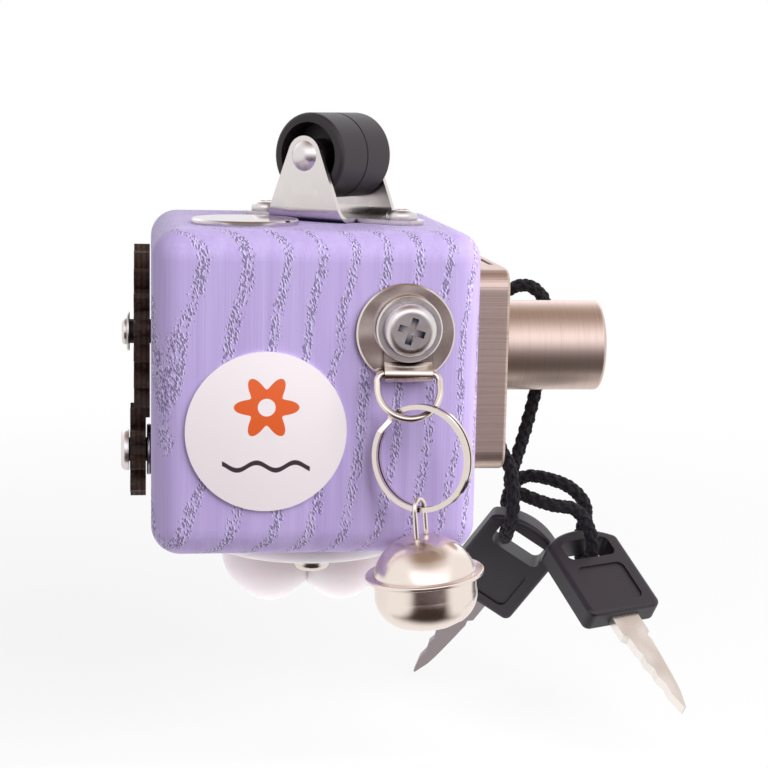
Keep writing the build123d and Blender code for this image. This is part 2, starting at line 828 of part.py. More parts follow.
# Drawer lock: case with its barrel, back plate, screws, plug, wafers and bolt
case_height = lock_depth - lock_plate_thick
cavity_roof = lock_depth - lock_front_wall
barrel_place = (0, barrel_z)
barrel_end = lock_depth + barrel_length
lock_top = lock_z + lock_height / 2
cavity_width = lock_width - 2 * lock_wall
cavity_height = lock_height - 2 * lock_wall
bolt_lift = lock_plate_thick + part_gap
bolt_thick = cavity_roof - part_gap - bolt_lift
pin_level = barrel_z - drive_pin_throw
bolt_travel = 2 * drive_pin_throw
bolt_top = lock_top - lock_wall - part_gap - bolt_travel
bolt_foot = bolt_top - bolt_height
tongue_top = lock_top - part_gap

with BuildPart() as lock_case:
    with BuildSketch(right_face.offset(lock_plate_thick)):
        with Locations((0, lock_z)):
            RectangleRounded(lock_width, lock_height, lock_corner)
    extrude(amount=case_height)
    fillet(lock_case.faces().sort_by(Axis.X)[-1].edges(), lock_edge_round)
    with BuildSketch(right_face.offset(lock_depth)):
        with Locations(barrel_place):
            Circle(barrel_radius)
    extrude(amount=barrel_length)
    fillet(lock_case.faces().sort_by(Axis.X)[-1].edges(), barrel_round)
    with BuildSketch(right_face.offset(lock_plate_thick)):
        with Locations((0, lock_z)):
            RectangleRounded(cavity_width, cavity_height, lock_corner - lock_wall)
        with Locations(*lock_screw_places):
            Circle(lock_boss_radius, mode=Mode.SUBTRACT)
        for side in (-1, 1):
            with Locations((side * (lock_width / 2 - lock_screw_inset / 2), lock_z)):
                Rectangle(lock_screw_inset, cavity_height + lock_wall, mode=Mode.SUBTRACT)
    extrude(amount=cavity_roof - lock_plate_thick, mode=Mode.SUBTRACT)
    with BuildSketch(right_face.offset(bolt_lift - part_gap)):
        with Locations((0, lock_top)):
            Rectangle(bolt_tongue_width + 2 * part_gap, 2 * lock_wall + 2 * part_gap)
    extrude(amount=bolt_thick + 2 * part_gap, mode=Mode.SUBTRACT)
    with BuildSketch(right_face.offset(lock_plate_thick)):
        with Locations(barrel_place):
            Circle(plug_radius + running_ease)
    extrude(amount=barrel_end, mode=Mode.SUBTRACT)
    with BuildSketch(right_face.offset(lock_depth)):
        with Locations(*lock_screw_places):
            Circle(lock_screw_head + pilot_ease)
    extrude(amount=-lock_screw_head + lock_screw_radius, taper=countersink_angle / 2, mode=Mode.SUBTRACT)
    with BuildSketch(right_face):
        with Locations(*lock_screw_places):
            Circle(lock_screw_radius + pilot_ease)
    extrude(amount=lock_depth, mode=Mode.SUBTRACT)
write(lock_case, "lock_case")

with BuildPart() as lock_back_plate:
    with BuildSketch(right_face):
        with Locations((0, lock_z)):
            RectangleRounded(lock_width, lock_height, lock_corner)
        with Locations(*lock_screw_places):
            Circle(lock_screw_radius + pilot_ease, mode=Mode.SUBTRACT)
    extrude(amount=lock_plate_thick)
write(lock_back_plate, "lock_back_plate")

with BuildPart() as lock_screws:
    with BuildSketch(right_face.offset(lock_depth - pilot_ease)):
        with Locations(*lock_screw_places):
            Circle(lock_screw_head)
    extrude(amount=-lock_screw_head + lock_screw_radius, taper=countersink_angle / 2)
    with BuildSketch(right_face.offset(lock_depth - pilot_ease)):
        with Locations(*lock_screw_places):
            Circle(lock_screw_radius)
    extrude(amount=-lock_depth - lock_screw_length + part_gap)
    with BuildSketch(right_face.offset(lock_depth - pilot_ease)):
        with Locations(*lock_screw_places):
            Rectangle(2 * recess_arm_share * lock_screw_head, 2 * recess_width_share * lock_screw_head)
            Rectangle(2 * recess_width_share * lock_screw_head, 2 * recess_arm_share * lock_screw_head)
    extrude(amount=-lock_screw_head / 2, mode=Mode.SUBTRACT)
write(lock_screws, "lock_screws")

plug_end = barrel_end - plug_recess
wafer_starts = [plug_end - keyway_depth + wafer_pitch * (count + 1) for count in range(wafer_count)]
with BuildPart() as lock_plug:
    with BuildSketch(right_face.offset(cavity_roof)):
        with Locations(barrel_place):
            Circle(plug_radius)
    extrude(amount=plug_end - cavity_roof)
    with BuildSketch(right_face.offset(plug_end)):
        with Locations(barrel_place):
            Rectangle(keyway_width, keyway_height)
    extrude(amount=-keyway_depth, mode=Mode.SUBTRACT)
    for start in wafer_starts:
        with BuildSketch(right_face.offset(start)):
            with Locations(barrel_place):
                Rectangle(wafer_width + 2 * wafer_ease, wafer_height + 2 * wafer_ease)
        extrude(amount=wafer_thick + 2 * wafer_ease, mode=Mode.SUBTRACT)
write(lock_plug, "lock_plug")

with BuildPart() as lock_wafers:
    for start in wafer_starts:
        with BuildSketch(right_face.offset(start + wafer_ease)):
            with Locations(barrel_place):
                Rectangle(wafer_width, wafer_height)
                Rectangle(keyway_width, keyway_height, mode=Mode.SUBTRACT)
        extrude(amount=wafer_thick)
write(lock_wafers, "lock_wafers")

with BuildPart() as lock_drive_pin:
    with BuildSketch(right_face.offset(cavity_roof)):
        with Locations((0, pin_level)):
            Circle(drive_pin_radius)
    extrude(amount=-bolt_thick)
write(lock_drive_pin, "lock_drive_pin")

with BuildPart() as lock_bolt:
    with BuildSketch(right_face.offset(bolt_lift)):
        with Locations((0, (bolt_top + bolt_foot) / 2)):
            Rectangle(bolt_width, bolt_height)
        with Locations((0, (bolt_top + tongue_top) / 2)):
            Rectangle(bolt_tongue_width, tongue_top - bolt_top)
        with Locations((0, pin_level)):
            Rectangle(
                2 * (drive_pin_throw + drive_pin_radius + part_gap),
                2 * (drive_pin_radius + drive_slot_slack),
                mode=Mode.SUBTRACT,
            )
    extrude(amount=bolt_thick)
write(lock_bolt, "lock_bolt")

# Push-bubble pad: a round base, two bubbles that push in, and two screws
with BuildPart() as pad_base:
    with BuildSketch(bottom_face):
        with Locations(pad_place):
            Circle(pad_radius)
    extrude(amount=pad_thick)
    fillet(pad_base.edges().group_by(Axis.Z)[0], pad_round)
    with BuildSketch(bottom_face):
        with Locations(*bubble_places):
            Circle(bubble_radius + bubble_ease)
        with Locations(*pad_screw_places):
            Circle(pad_shank_radius + pin_ease)
    extrude(amount=pad_thick, mode=Mode.SUBTRACT)
write(pad_base, "pad_base")

for name, side, place in (("bubble_left", -1, bubble_places[0]), ("bubble_right", 1, bubble_places[1])):
    bubble_foot = bottom_face.from_local_coords((*place, 0))
    with BuildPart() as bubble:
        with BuildSketch(Plane(origin=bubble_foot, x_dir=(1, 0, 0), z_dir=(0, 1, 0))):
            with BuildLine():
                Polyline(
                    (0, part_gap),
                    (bubble_radius, part_gap),
                    (bubble_radius, pad_thick),
                    (bubble_shoulder_radius, pad_thick + bubble_shoulder),
                    (bubble_tip_radius, pad_thick + bubble_tip_height),
                )
                TangentArc(
                    (0, pad_thick + bubble_height),
                    (bubble_tip_radius, pad_thick + bubble_tip_height),
                    tangent=(1, 0),
                )
                Line((0, pad_thick + bubble_height), (0, part_gap))
            make_face()
        revolve(axis=Axis(bubble_foot, (0, 0, 1)))
        with BuildSketch(bottom_face):
            with Locations((pad_place[0] - side * (bubble_spacing - part_gap) / 2, pad_place[1])):
                Rectangle(bubble_spacing, 2 * pad_radius)
        extrude(amount=pad_thick + bubble_height + cut_overrun, mode=Mode.SUBTRACT)
    write(bubble, name)

pad_screws = screws(
    bottom_face,
    pad_screw_places,
    pad_thick,
    pad_head_radius,
    pad_head_height,
    pad_shank_radius,
    pad_shank_length,
    head_round_share * pad_head_height,
)
write(pad_screws, "pad_screws")

# Screw eye with its stem in the wood, and the knot round its outer side
eye_foot = right_face.from_local_coords((eye_y, eye_z, 0))
eye_centre = eye_foot + Vector(eye_stem + eye_ring_radius, 0, 0)
with BuildPart() as cord_eye:
    with BuildSketch(Plane(origin=eye_foot - Vector(eye_thread, 0, 0), z_dir=(1, 0, 0))):
        Circle(eye_stem_radius)
    extrude(amount=eye_thread + eye_stem)
    with Locations(Plane(origin=eye_centre, z_dir=(0, 1, 0))):
        Torus(eye_ring_radius, eye_wire)
write(cord_eye, "cord_eye")

knot_centre = eye_centre + Vector(eye_ring_radius + knot_girth, 0, 0)
with BuildPart() as cord_knot:
    with Locations(Plane(origin=knot_centre, z_dir=(0, 0, 1))):
        Torus(knot_radius - knot_girth, knot_girth)
        Cylinder(knot_radius - knot_girth, 2 * knot_girth)
write(cord_knot, "cord_knot")

# Keys: a moulded head with a cord slot and sunk panels, and a notched blade
for name, slot, across_shares, along_shares in (
    ("key_1", key_1_slot, key_1_across_shares, key_1_along_shares),
    ("key_2", key_2_slot, key_2_across_shares, key_2_along_shares),
):
    along = Vector(*along_shares).normalized()
    facing = Vector(*across_shares).cross(-along).normalized()
    across = (-along).cross(facing)
    key_plane = Plane(origin=slot, x_dir=across, z_dir=facing)
    key_middle = key_plane.offset(-key_head_thick / 2)
    with BuildPart() as head:
        with BuildSketch(key_middle):
            with BuildLine():
                Line((-key_head_half_width, key_head_shoulder), (-key_head_half_width, -key_head_bottom))
                Line((-key_head_half_width, -key_head_bottom), (key_head_half_width, -key_head_bottom))
                Line((key_head_half_width, -key_head_bottom), (key_head_half_width, key_head_shoulder))
                ThreePointArc(
                    (-key_head_half_width, key_head_shoulder),
                    (0, key_head_top),
                    (key_head_half_width, key_head_shoulder),
                )
            make_face()
        extrude(amount=key_head_thick)
        fillet(head.edges().filter_by(Axis(slot, facing)), key_corner)
        rims = head.faces().filter_by(Axis(slot, facing)).edges()
        fillet(rims, key_head_round)
        with BuildSketch(key_middle.offset(-cut_overrun)):
            RectangleRounded(key_slot_length, key_slot_width, key_slot_corner)
        extrude(amount=key_head_thick + 2 * cut_overrun, mode=Mode.SUBTRACT)
        for side in (-1, 1):
            with BuildSketch(key_plane.offset(side * key_head_thick / 2)):
                with Locations((0, -key_panel_offset)):
                    RectangleRounded(key_panel_width, key_panel_height, key_corner)
            extrude(amount=-side * key_panel_depth, mode=Mode.SUBTRACT)
        with BuildSketch(key_plane.offset(-key_blade_thick / 2)):
            with Locations((0, -key_head_bottom + key_blade_tang / 2)):
                Rectangle(2 * key_blade_half_width, key_blade_tang)
        extrude(amount=key_blade_thick, mode=Mode.SUBTRACT)
    write(head, f"{name}_head")
    blade_start = key_head_bottom - key_blade_tang
    blade_length = key_blade_tip - blade_start
    near_edge = [
        (key_blade_half_width * near, -blade_start - blade_length * share)
        for share, near in zip(blade_length_shares, blade_near_shares)
    ]
    far_edge = [
        (-key_blade_half_width * far, -blade_start - blade_length * share)
        for share, far in zip(blade_length_shares, blade_far_shares)
    ]
    with BuildPart() as blade:
        with BuildSketch(key_plane.offset(-key_blade_thick / 2)):
            with BuildLine():
                Polyline(*near_edge, *reversed(far_edge), close=True)
            make_face()
        extrude(amount=key_blade_thick)
    write(blade, f"{name}_blade")

# Cord: straight runs joined by tangent arcs, each as round as its shorter run allows
route = [Vector(*point) for point in cord_points]
bend_radii = []
for before, here, after in zip(route, route[1:], route[2:]):
    turn = (here - before).get_angle(after - here)
    shorter = min((here - before).length, (after - here).length)
    bend_radii.append(cord_bend_share * shorter / tan(radians(turn) / 2))
with BuildPart() as key_cord:
    with BuildLine() as cord_path:
        FilletPolyline(*route, radius=bend_radii)
    with BuildSketch(Plane(origin=route[0], z_dir=route[1] - route[0])):
        Circle(cord_diameter / 2)
    sweep()
write(key_cord, "key_cord")
cord_length = cord_path.wires()[0].length
cord_section = pi * cord_diameter**2 / 4
print("cord radii", [round(radius, 1) for radius in bend_radii])
cord_share = key_cord.part.volume / cord_section / cord_length
print("cord length", round(cord_length, 1), "volume share", round(cord_share, 4))
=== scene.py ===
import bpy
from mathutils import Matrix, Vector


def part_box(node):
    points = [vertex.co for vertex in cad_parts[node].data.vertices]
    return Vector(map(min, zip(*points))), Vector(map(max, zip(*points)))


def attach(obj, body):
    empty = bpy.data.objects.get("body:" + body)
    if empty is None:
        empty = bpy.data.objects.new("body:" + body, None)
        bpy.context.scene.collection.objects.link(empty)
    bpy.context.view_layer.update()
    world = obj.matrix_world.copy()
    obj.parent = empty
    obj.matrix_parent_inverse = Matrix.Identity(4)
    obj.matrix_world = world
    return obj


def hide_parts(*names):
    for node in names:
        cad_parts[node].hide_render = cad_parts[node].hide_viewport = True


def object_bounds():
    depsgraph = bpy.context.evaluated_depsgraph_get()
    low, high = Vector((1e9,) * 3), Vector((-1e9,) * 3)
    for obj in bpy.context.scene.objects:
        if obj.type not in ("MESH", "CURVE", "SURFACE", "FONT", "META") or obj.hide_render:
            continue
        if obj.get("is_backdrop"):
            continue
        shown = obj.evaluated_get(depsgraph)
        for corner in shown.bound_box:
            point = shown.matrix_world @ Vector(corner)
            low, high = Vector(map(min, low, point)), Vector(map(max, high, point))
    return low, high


bl_info = {
    "name": "Wooden Activity Cube",
    "version": (1, 0, 0),
    "blender": (4, 5, 0),
    "location": "View3D > Sidebar > Activity Cube",
    "description": "Finishes a painted wooden activity cube and its hardware on a pale studio floor",
    "category": "Object",
}

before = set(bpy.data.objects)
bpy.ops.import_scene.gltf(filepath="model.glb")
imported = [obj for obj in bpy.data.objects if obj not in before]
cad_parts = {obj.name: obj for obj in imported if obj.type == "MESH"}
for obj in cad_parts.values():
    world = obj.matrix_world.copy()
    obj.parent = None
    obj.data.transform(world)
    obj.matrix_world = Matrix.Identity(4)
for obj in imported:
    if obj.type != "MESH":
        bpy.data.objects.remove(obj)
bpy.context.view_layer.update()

import math

import bmesh
import bpy
from bpy.props import FloatProperty, FloatVectorProperty, IntProperty, PointerProperty, StringProperty
from mathutils import Matrix, Vector

MM = 0.001
TINY = 0.001 * MM
WHITE = "#ffffff"
# Painted shade: a dark blue-grey mixed into plate down in recesses, standing in for the shade and dark
# reflection there.
RECESS_SHADE_COLOUR = "#30384c"

# The key cord's route, the same points as the solid tube's, in metres.
CORD_ROUTE = (
    (0.0420, 0.0206, 0.0124),
    (0.0452, 0.0188, 0.0154),
    (0.0492, 0.0166, 0.0158),
    (0.0522, 0.0144, 0.0116),
    (0.0516, 0.0136, 0.0035),
    (0.0498, 0.0132, -0.0055),
    (0.0474, 0.0114, -0.0140),
    (0.0446, 0.0080, -0.0205),
    (0.0422, 0.0032, -0.0244),
    (0.0460, -0.0009, -0.0256),
    (0.0502, -0.0046, -0.0266),
    (0.0556, -0.0034, -0.0272),
    (0.0586, -0.0063, -0.0332),
    (0.0585, -0.0007, -0.0414),
    (0.0578, 0.0065, -0.0368),
    (0.0596, 0.0026, -0.0292),
    (0.0560, 0.0034, -0.0244),
    (0.0506, 0.0066, -0.0230),
    (0.0466, 0.0106, -0.0234),
    (0.0445, 0.0160, -0.0292),
    (0.0444, 0.0109, -0.0329),
    (0.0413, 0.0013, -0.0360),
    (0.0422, -0.0050, -0.0274),
    (0.0424, 0.0006, -0.0194),
    (0.0412, 0.0074, -0.0172),
    (0.0422, 0.0148, -0.0142),
    (0.0430, 0.0198, -0.0076),
    (0.0428, 0.0219, 0.0008),
    (0.0420, 0.0220, 0.0088),
)

# Shares of the braid's radius: a strand's radius, its wave in and out, and the core's radius.
STRAND_SHARE = 0.31
WAVE_SHARE = 0.1
CORE_SHARE = 0.72

# The knot's braid and its trefoil, in metres, and the trefoil's control points.
KNOT_RADIUS = 1.2 * MM
KNOT_UNIT = 0.8 * MM
KNOT_POINTS = 24

# The distance between points along the cord's braid and along the knot's.
CORD_STEP = 0.4 * MM
KNOT_STEP = 0.3 * MM

# A bubble's half outline from its foot to its tip: shares of its radius and of its height.
BUBBLE_SHARES = (
    (0.0, 0.0),
    (0.97, 0.0),
    (1.0, 0.02),
    (1.0, 0.21),
    (0.998, 0.32),
    (0.988, 0.42),
    (0.962, 0.5),
    (0.915, 0.575),
    (0.845, 0.65),
    (0.755, 0.725),
    (0.645, 0.795),
    (0.52, 0.862),
    (0.39, 0.918),
    (0.265, 0.958),
    (0.15, 0.984),
    (0.06, 0.997),
    (0.0, 1.0),
)

# Each lamp's name, place, aim, size in metres and power in watts.
LAMPS = (
    ("key_light", (0.23, -0.29, 0.26), (0.0, 0.0, 0.02), 0.42, 2.7),
    ("fill_light", (-0.6, -0.32, 0.22), (0.0, 0.0, 0.0), 0.6, 0.9),
    ("side_light", (0.62, 0.12, 0.12), (0.02, 0.0, 0.0), 0.4, 1.8),
)


def linear(hex_colour):
    """sRGB hex to the linear RGBA that shader sockets take."""
    channels = [int(hex_colour[i : i + 2], 16) / 255 for i in (1, 3, 5)]
    return tuple(c / 12.92 if c <= 0.04045 else ((c + 0.055) / 1.055) ** 2.4 for c in channels) + (1.0,)


def brightened(hex_colour, level):
    """A colour's linear RGBA times a level of light."""
    return [level * channel for channel in linear(hex_colour)[:3]] + [1.0]


def add_node(tree, kind, terms=None, **settings):
    """Adds a node with its settings. A socket's term is a plain value or another node's output."""
    made = tree.nodes.new(kind)
    for name, setting in settings.items():
        setattr(made, name, setting)
    for socket, term in (terms or {}).items():
        if isinstance(term, bpy.types.NodeSocket):
            tree.links.new(term, made.inputs[socket])
        else:
            made.inputs[socket].default_value = term
    return made


def start_material(name, colour, roughness, metallic=0.0, ior=1.5):
    """A material with one Principled shader, and the object's own coordinates in millimetres."""
    material = bpy.data.materials.new(name)
    material.use_nodes = True
    tree = material.node_tree
    shader = tree.nodes["Principled BSDF"]
    shader.inputs["Base Color"].default_value = linear(colour)
    shader.inputs["Roughness"].default_value = roughness
    shader.inputs["Metallic"].default_value = metallic
    if metallic == 0.0:
        shader.inputs["IOR"].default_value = ior
    place = add_node(tree, "ShaderNodeTexCoord").outputs["Object"]
    mm = add_node(tree, "ShaderNodeMapping", {"Vector": place, "Scale": (1 / MM,) * 3}).outputs["Vector"]
    return material, tree, shader, mm


def finish(nodes, material):
    """Gives CAD nodes a better material."""
    for name in nodes:
        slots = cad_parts[name].data.materials
        slots.clear()
        slots.append(material)


def add_piece(name, mesh, material, body):
    """Links a finished mesh as a piece that rides on a body."""
    for polygon in mesh.polygons:
        polygon.use_smooth = True
    mesh.materials.clear()
    mesh.materials.append(material)
    piece = bpy.data.objects.new(name, mesh)
    bpy.context.scene.collection.objects.link(piece)
    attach(piece, body)
    return piece


# Finishes


def roughen(tree, shader, mm, size, depth, strength, detail, fineness=0.5):
    """Covers a surface with lumps of a size and a depth in millimetres, over any that are there already."""
    at = add_node(tree, "ShaderNodeMapping", {"Vector": mm, "Scale": (1 / size,) * 3}).outputs["Vector"]
    terms = {"Vector": at, "Scale": 1.0, "Detail": detail, "Roughness": fineness}
    lumps = add_node(tree, "ShaderNodeTexNoise", terms).outputs["Fac"]
    terms = {"Height": lumps, "Strength": strength, "Distance": depth * MM}
    if shader.inputs["Normal"].is_linked:
        terms["Normal"] = shader.inputs["Normal"].links[0].from_socket
    bump = add_node(tree, "ShaderNodeBump", terms).outputs["Normal"]
    tree.links.new(bump, shader.inputs["Normal"])
    return lumps


def paint_recess_shade(tree, shader, colour):
    """Paints shade into plate: darkens it in recesses and seams about a millimetre wide, standing in for
    shade and dark reflection there.
    """
    nearby = {"Distance": 1.3 * MM}
    openness = add_node(tree, "ShaderNodeAmbientOcclusion", nearby, samples=8).outputs["AO"]
    terms = {"Value": openness, "From Min": 0.3, "From Max": 0.75}
    clear = add_node(tree, "ShaderNodeMapRange", terms, interpolation_type="SMOOTHSTEP").outputs["Result"]
    terms = {0: clear, 6: linear(RECESS_SHADE_COLOUR), 7: linear(colour)}
    shaded = add_node(tree, "ShaderNodeMix", terms, data_type="RGBA").outputs[2]
    tree.links.new(shaded, shader.inputs["Base Color"])


def painted_ash(settings):
    """Brushed ash under thin lilac paint: soft satin, dark open pores in bands along the growth rings."""
    material, tree, shader, mm = start_material("painted_ash", settings.paint_pale, 0.5)
    # The size of each pattern along X, Y and Z, and its detail.
    patterns = []
    for size, detail in (
        ((100 / 3, 100 / 3, 20), 3.0),
        ((1.6, 1.6, 5.0), 2.0),
        ((0.3, 0.3, 25), 2.0),
        ((1.8, 1.8, 70), 2.0),
    ):
        scale = [1 / along for along in size]
        at = add_node(tree, "ShaderNodeMapping", {"Vector": mm, "Scale": scale}).outputs["Vector"]
        terms = {"Vector": at, "Scale": 1.0, "Detail": detail}
        patterns.append(add_node(tree, "ShaderNodeTexNoise", terms).outputs["Fac"])
    sway, patch, lines, streaks = patterns
    # Growth rings circle a heart off the block's front left corner, and lean a little from the upright.
    terms = {"Vector": mm, "Location": (70, 100, 0), "Scale": (1, 1, 0)}
    heart = add_node(tree, "ShaderNodeMapping", terms).outputs["Vector"]
    radius = add_node(tree, "ShaderNodeVectorMath", {0: heart}, operation="LENGTH").outputs["Value"]
    terms = {0: sway, 1: settings.ring_sway, 2: radius}
    radius = add_node(tree, "ShaderNodeMath", terms, operation="MULTIPLY_ADD").outputs[0]
    ring = add_node(tree, "ShaderNodeSeparateXYZ", {0: mm}).outputs["Z"]
    for operation, terms in (
        ("MULTIPLY_ADD", {1: -settings.ring_lean, 2: radius}),
        ("DIVIDE", {1: settings.ring_width}),
        ("PINGPONG", {1: 0.5}),
    ):
        ring = add_node(tree, "ShaderNodeMath", {0: ring, **terms}, operation=operation).outputs[0]
    terms = {"Value": ring, "From Min": 0.07, "From Max": 0.25, "To Min": 1.0, "To Max": 0.0}
    early = add_node(tree, "ShaderNodeMapRange", terms, interpolation_type="SMOOTHSTEP").outputs["Result"]
    terms = {"Value": patch, "From Min": 0.3, "From Max": 0.55, "To Min": 0.6}
    patch = add_node(tree, "ShaderNodeMapRange", terms).outputs["Result"]
    dense = add_node(tree, "ShaderNodeMath", {0: early, 1: patch}, operation="MULTIPLY").outputs[0]
    # Pores: slits about 0.2 mm wide and 0.7 mm long, leaning from the upright, each with a painted highlight
    # beside it: a paler copy shifted aside, standing in for light on its raised lip.
    terms = {"Vector": mm, "Rotation": (0, settings.pore_lean, 0)}
    turned = add_node(tree, "ShaderNodeMapping", terms).outputs["Vector"]
    terms = {0: dense, 1: 0.5, 2: 0.02}
    reach = add_node(tree, "ShaderNodeMath", terms, operation="MULTIPLY_ADD").outputs[0]
    cell = (1 / settings.pore_width, 1 / settings.pore_width, 1 / settings.pore_length)
    slits = []
    # The second copy, shifted aside, is the painted highlight beside each pore.
    for aside in (0, -0.85):
        terms = {"Vector": turned, "Location": (aside, 0, 0), "Scale": cell}
        at = add_node(tree, "ShaderNodeMapping", terms).outputs["Vector"]
        slit = add_node(tree, "ShaderNodeTexVoronoi", {"Vector": at, "Scale": 1.0}).outputs["Distance"]
        slit = add_node(tree, "ShaderNodeMath", {0: reach, 1: slit}, operation="SUBTRACT").outputs[0]
        terms = {"Value": slit, "From Min": -0.06, "From Max": 0.1}
        slit = add_node(tree, "ShaderNodeMapRange", terms, interpolation_type="SMOOTHSTEP")
        slits.append(slit.outputs["Result"])
    pore, lip = slits
    # Wire-brush marks: fine upright lines about 0.3 mm apart, in streaks a few millimetres wide.
    terms = {0: 0.55, 2: lines, 3: streaks}
    stroke = add_node(tree, "ShaderNodeMix", terms, data_type="FLOAT").outputs[0]
    terms = {"Value": stroke, "From Min": 0.3, "From Max": 0.7}
    tone = add_node(tree, "ShaderNodeMapRange", terms).outputs["Result"]
    colour = linear(settings.paint_deep)
    for mask, share, paint in (
        (tone, 1.0, settings.paint_pale),
        (lip, 0.7, settings.pore_lip_highlight),
        (pore, 0.7, settings.pore_colour),
    ):
        cover = add_node(tree, "ShaderNodeMath", {0: mask, 1: share}, operation="MULTIPLY").outputs[0]
        terms = {0: cover, 6: colour, 7: linear(paint)}
        colour = add_node(tree, "ShaderNodeMix", terms, data_type="RGBA").outputs[2]
    tree.links.new(colour, shader.inputs["Base Color"])
    lines = add_node(tree, "ShaderNodeMath", {0: lines, 1: 0.25}, operation="MULTIPLY").outputs[0]
    relief = add_node(tree, "ShaderNodeMath", {0: lines, 1: pore}, operation="SUBTRACT").outputs[0]
    terms = {"Height": relief, "Strength": 0.8, "Distance": 0.22 * MM}
    bump = add_node(tree, "ShaderNodeBump", terms).outputs["Normal"]
    tree.links.new(bump, shader.inputs["Normal"])
    return material


def domed_resin(settings):
    """Clear poured resin over a white print: a wet gloss, with a plain flower and a wavy line under it."""
    material, tree, shader, mm = start_material("domed_resin", settings.white_ink, 0.3)
    shader.inputs["Coat Weight"].default_value = 1.0
    shader.inputs["Coat Roughness"].default_value = 0.22
    low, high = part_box("badge")
    to_middle = [-(low[i] + high[i]) / 2 / MM for i in range(3)]
    terms = {"Vector": mm, "Location": (to_middle[0], 0, to_middle[2]), "Scale": (1, 0, 1)}
    mm = add_node(tree, "ShaderNodeMapping", terms).outputs["Vector"]
    # The dome is level at its middle.
    from_middle = add_node(tree, "ShaderNodeVectorMath", {0: mm}, operation="LENGTH").outputs["Value"]
    terms = {"Value": from_middle, "From Min": 3.5, "From Max": 2.0}
    level = add_node(tree, "ShaderNodeMapRange", terms, interpolation_type="SMOOTHSTEP").outputs["Result"]
    outward = add_node(
        tree,
        "ShaderNodeVectorTransform",
        {"Vector": (0, -1, 0)},
        vector_type="NORMAL",
        convert_from="OBJECT",
        convert_to="WORLD",
    ).outputs["Vector"]
    dome = add_node(tree, "ShaderNodeNewGeometry").outputs["Normal"]
    terms = {0: level, 4: dome, 5: outward}
    dome = add_node(tree, "ShaderNodeMix", terms, data_type="VECTOR").outputs[1]
    tree.links.new(dome, shader.inputs["Normal"])
    tree.links.new(dome, shader.inputs["Coat Normal"])
    # The flower: petals round a white eye.
    terms = {0: mm, 1: (0, 0, settings.flower_rise)}
    flower_at = add_node(tree, "ShaderNodeVectorMath", terms, operation="SUBTRACT").outputs["Vector"]
    radius = add_node(tree, "ShaderNodeVectorMath", {0: flower_at}, operation="LENGTH").outputs["Value"]
    petal, _, over = add_node(tree, "ShaderNodeSeparateXYZ", {0: flower_at}).outputs
    for operation, terms in (
        ("ARCTAN2", {1: over}),
        ("MULTIPLY", {1: settings.petals}),
        ("COSINE", {}),
        ("MULTIPLY_ADD", {1: -settings.petal_depth, 2: settings.flower_radius}),
        ("SUBTRACT", {1: radius}),
    ):
        petal = add_node(tree, "ShaderNodeMath", {0: petal, **terms}, operation=operation).outputs[0]
    # The line: a sine wave under the flower.
    aside, _, over = add_node(tree, "ShaderNodeSeparateXYZ", {0: mm}).outputs
    wave = aside
    for operation, terms in (
        ("MULTIPLY", {1: 0.9}),
        ("SINE", {}),
        ("MULTIPLY_ADD", {1: settings.line_wave, 2: settings.line_drop}),
        ("ADD", {1: over}),
        ("ABSOLUTE", {}),
    ):
        wave = add_node(tree, "ShaderNodeMath", {0: wave, **terms}, operation=operation).outputs[0]
    aside = add_node(tree, "ShaderNodeMath", {0: aside}, operation="ABSOLUTE").outputs[0]
    # The ink's edges are a tenth of a millimetre soft.
    soft = 0.05
    masks = []
    for distance, outside, inside in (
        (petal, -1.2 * soft, 1.2 * soft),
        (radius, settings.eye_radius + soft, settings.eye_radius - soft),
        (wave, settings.line_half + soft, settings.line_half - soft),
        (aside, settings.line_reach + soft, settings.line_reach - soft),
    ):
        terms = {"Value": distance, "From Min": outside, "From Max": inside}
        masks.append(add_node(tree, "ShaderNodeMapRange", terms).outputs["Result"])
    flower, eye, stripe, ends = masks
    line = add_node(tree, "ShaderNodeMath", {0: stripe, 1: ends}, operation="MULTIPLY").outputs[0]
    colour = linear(settings.white_ink)
    for mask, ink in ((line, settings.line_ink), (flower, settings.flower_ink), (eye, settings.white_ink)):
        terms = {0: mask, 6: colour, 7: linear(ink)}
        colour = add_node(tree, "ShaderNodeMix", terms, data_type="RGBA").outputs[2]
    tree.links.new(colour, shader.inputs["Base Color"])
    return material


def bright_nickel(name, colour, roughness, grit):
    """Plated steel polished bright: a gently wavy mirror, softened by wear marks a fraction of a mm apart."""
    material, tree, shader, mm = start_material(name, colour, roughness, 1.0)
    # Painted shade: plate darkened in recesses and seams.
    paint_recess_shade(tree, shader, colour)
    roughen(tree, shader, mm, size=9, depth=0.6, strength=1.0, detail=1.0)
    wear = roughen(tree, shader, mm, size=grit, depth=0.05, strength=0.02, detail=3.0)
    terms = {"Value": wear, "To Min": roughness * 0.7, "To Max": roughness * 1.4}
    rough = add_node(tree, "ShaderNodeMapRange", terms).outputs["Result"]
    tree.links.new(rough, shader.inputs["Roughness"])
    return material


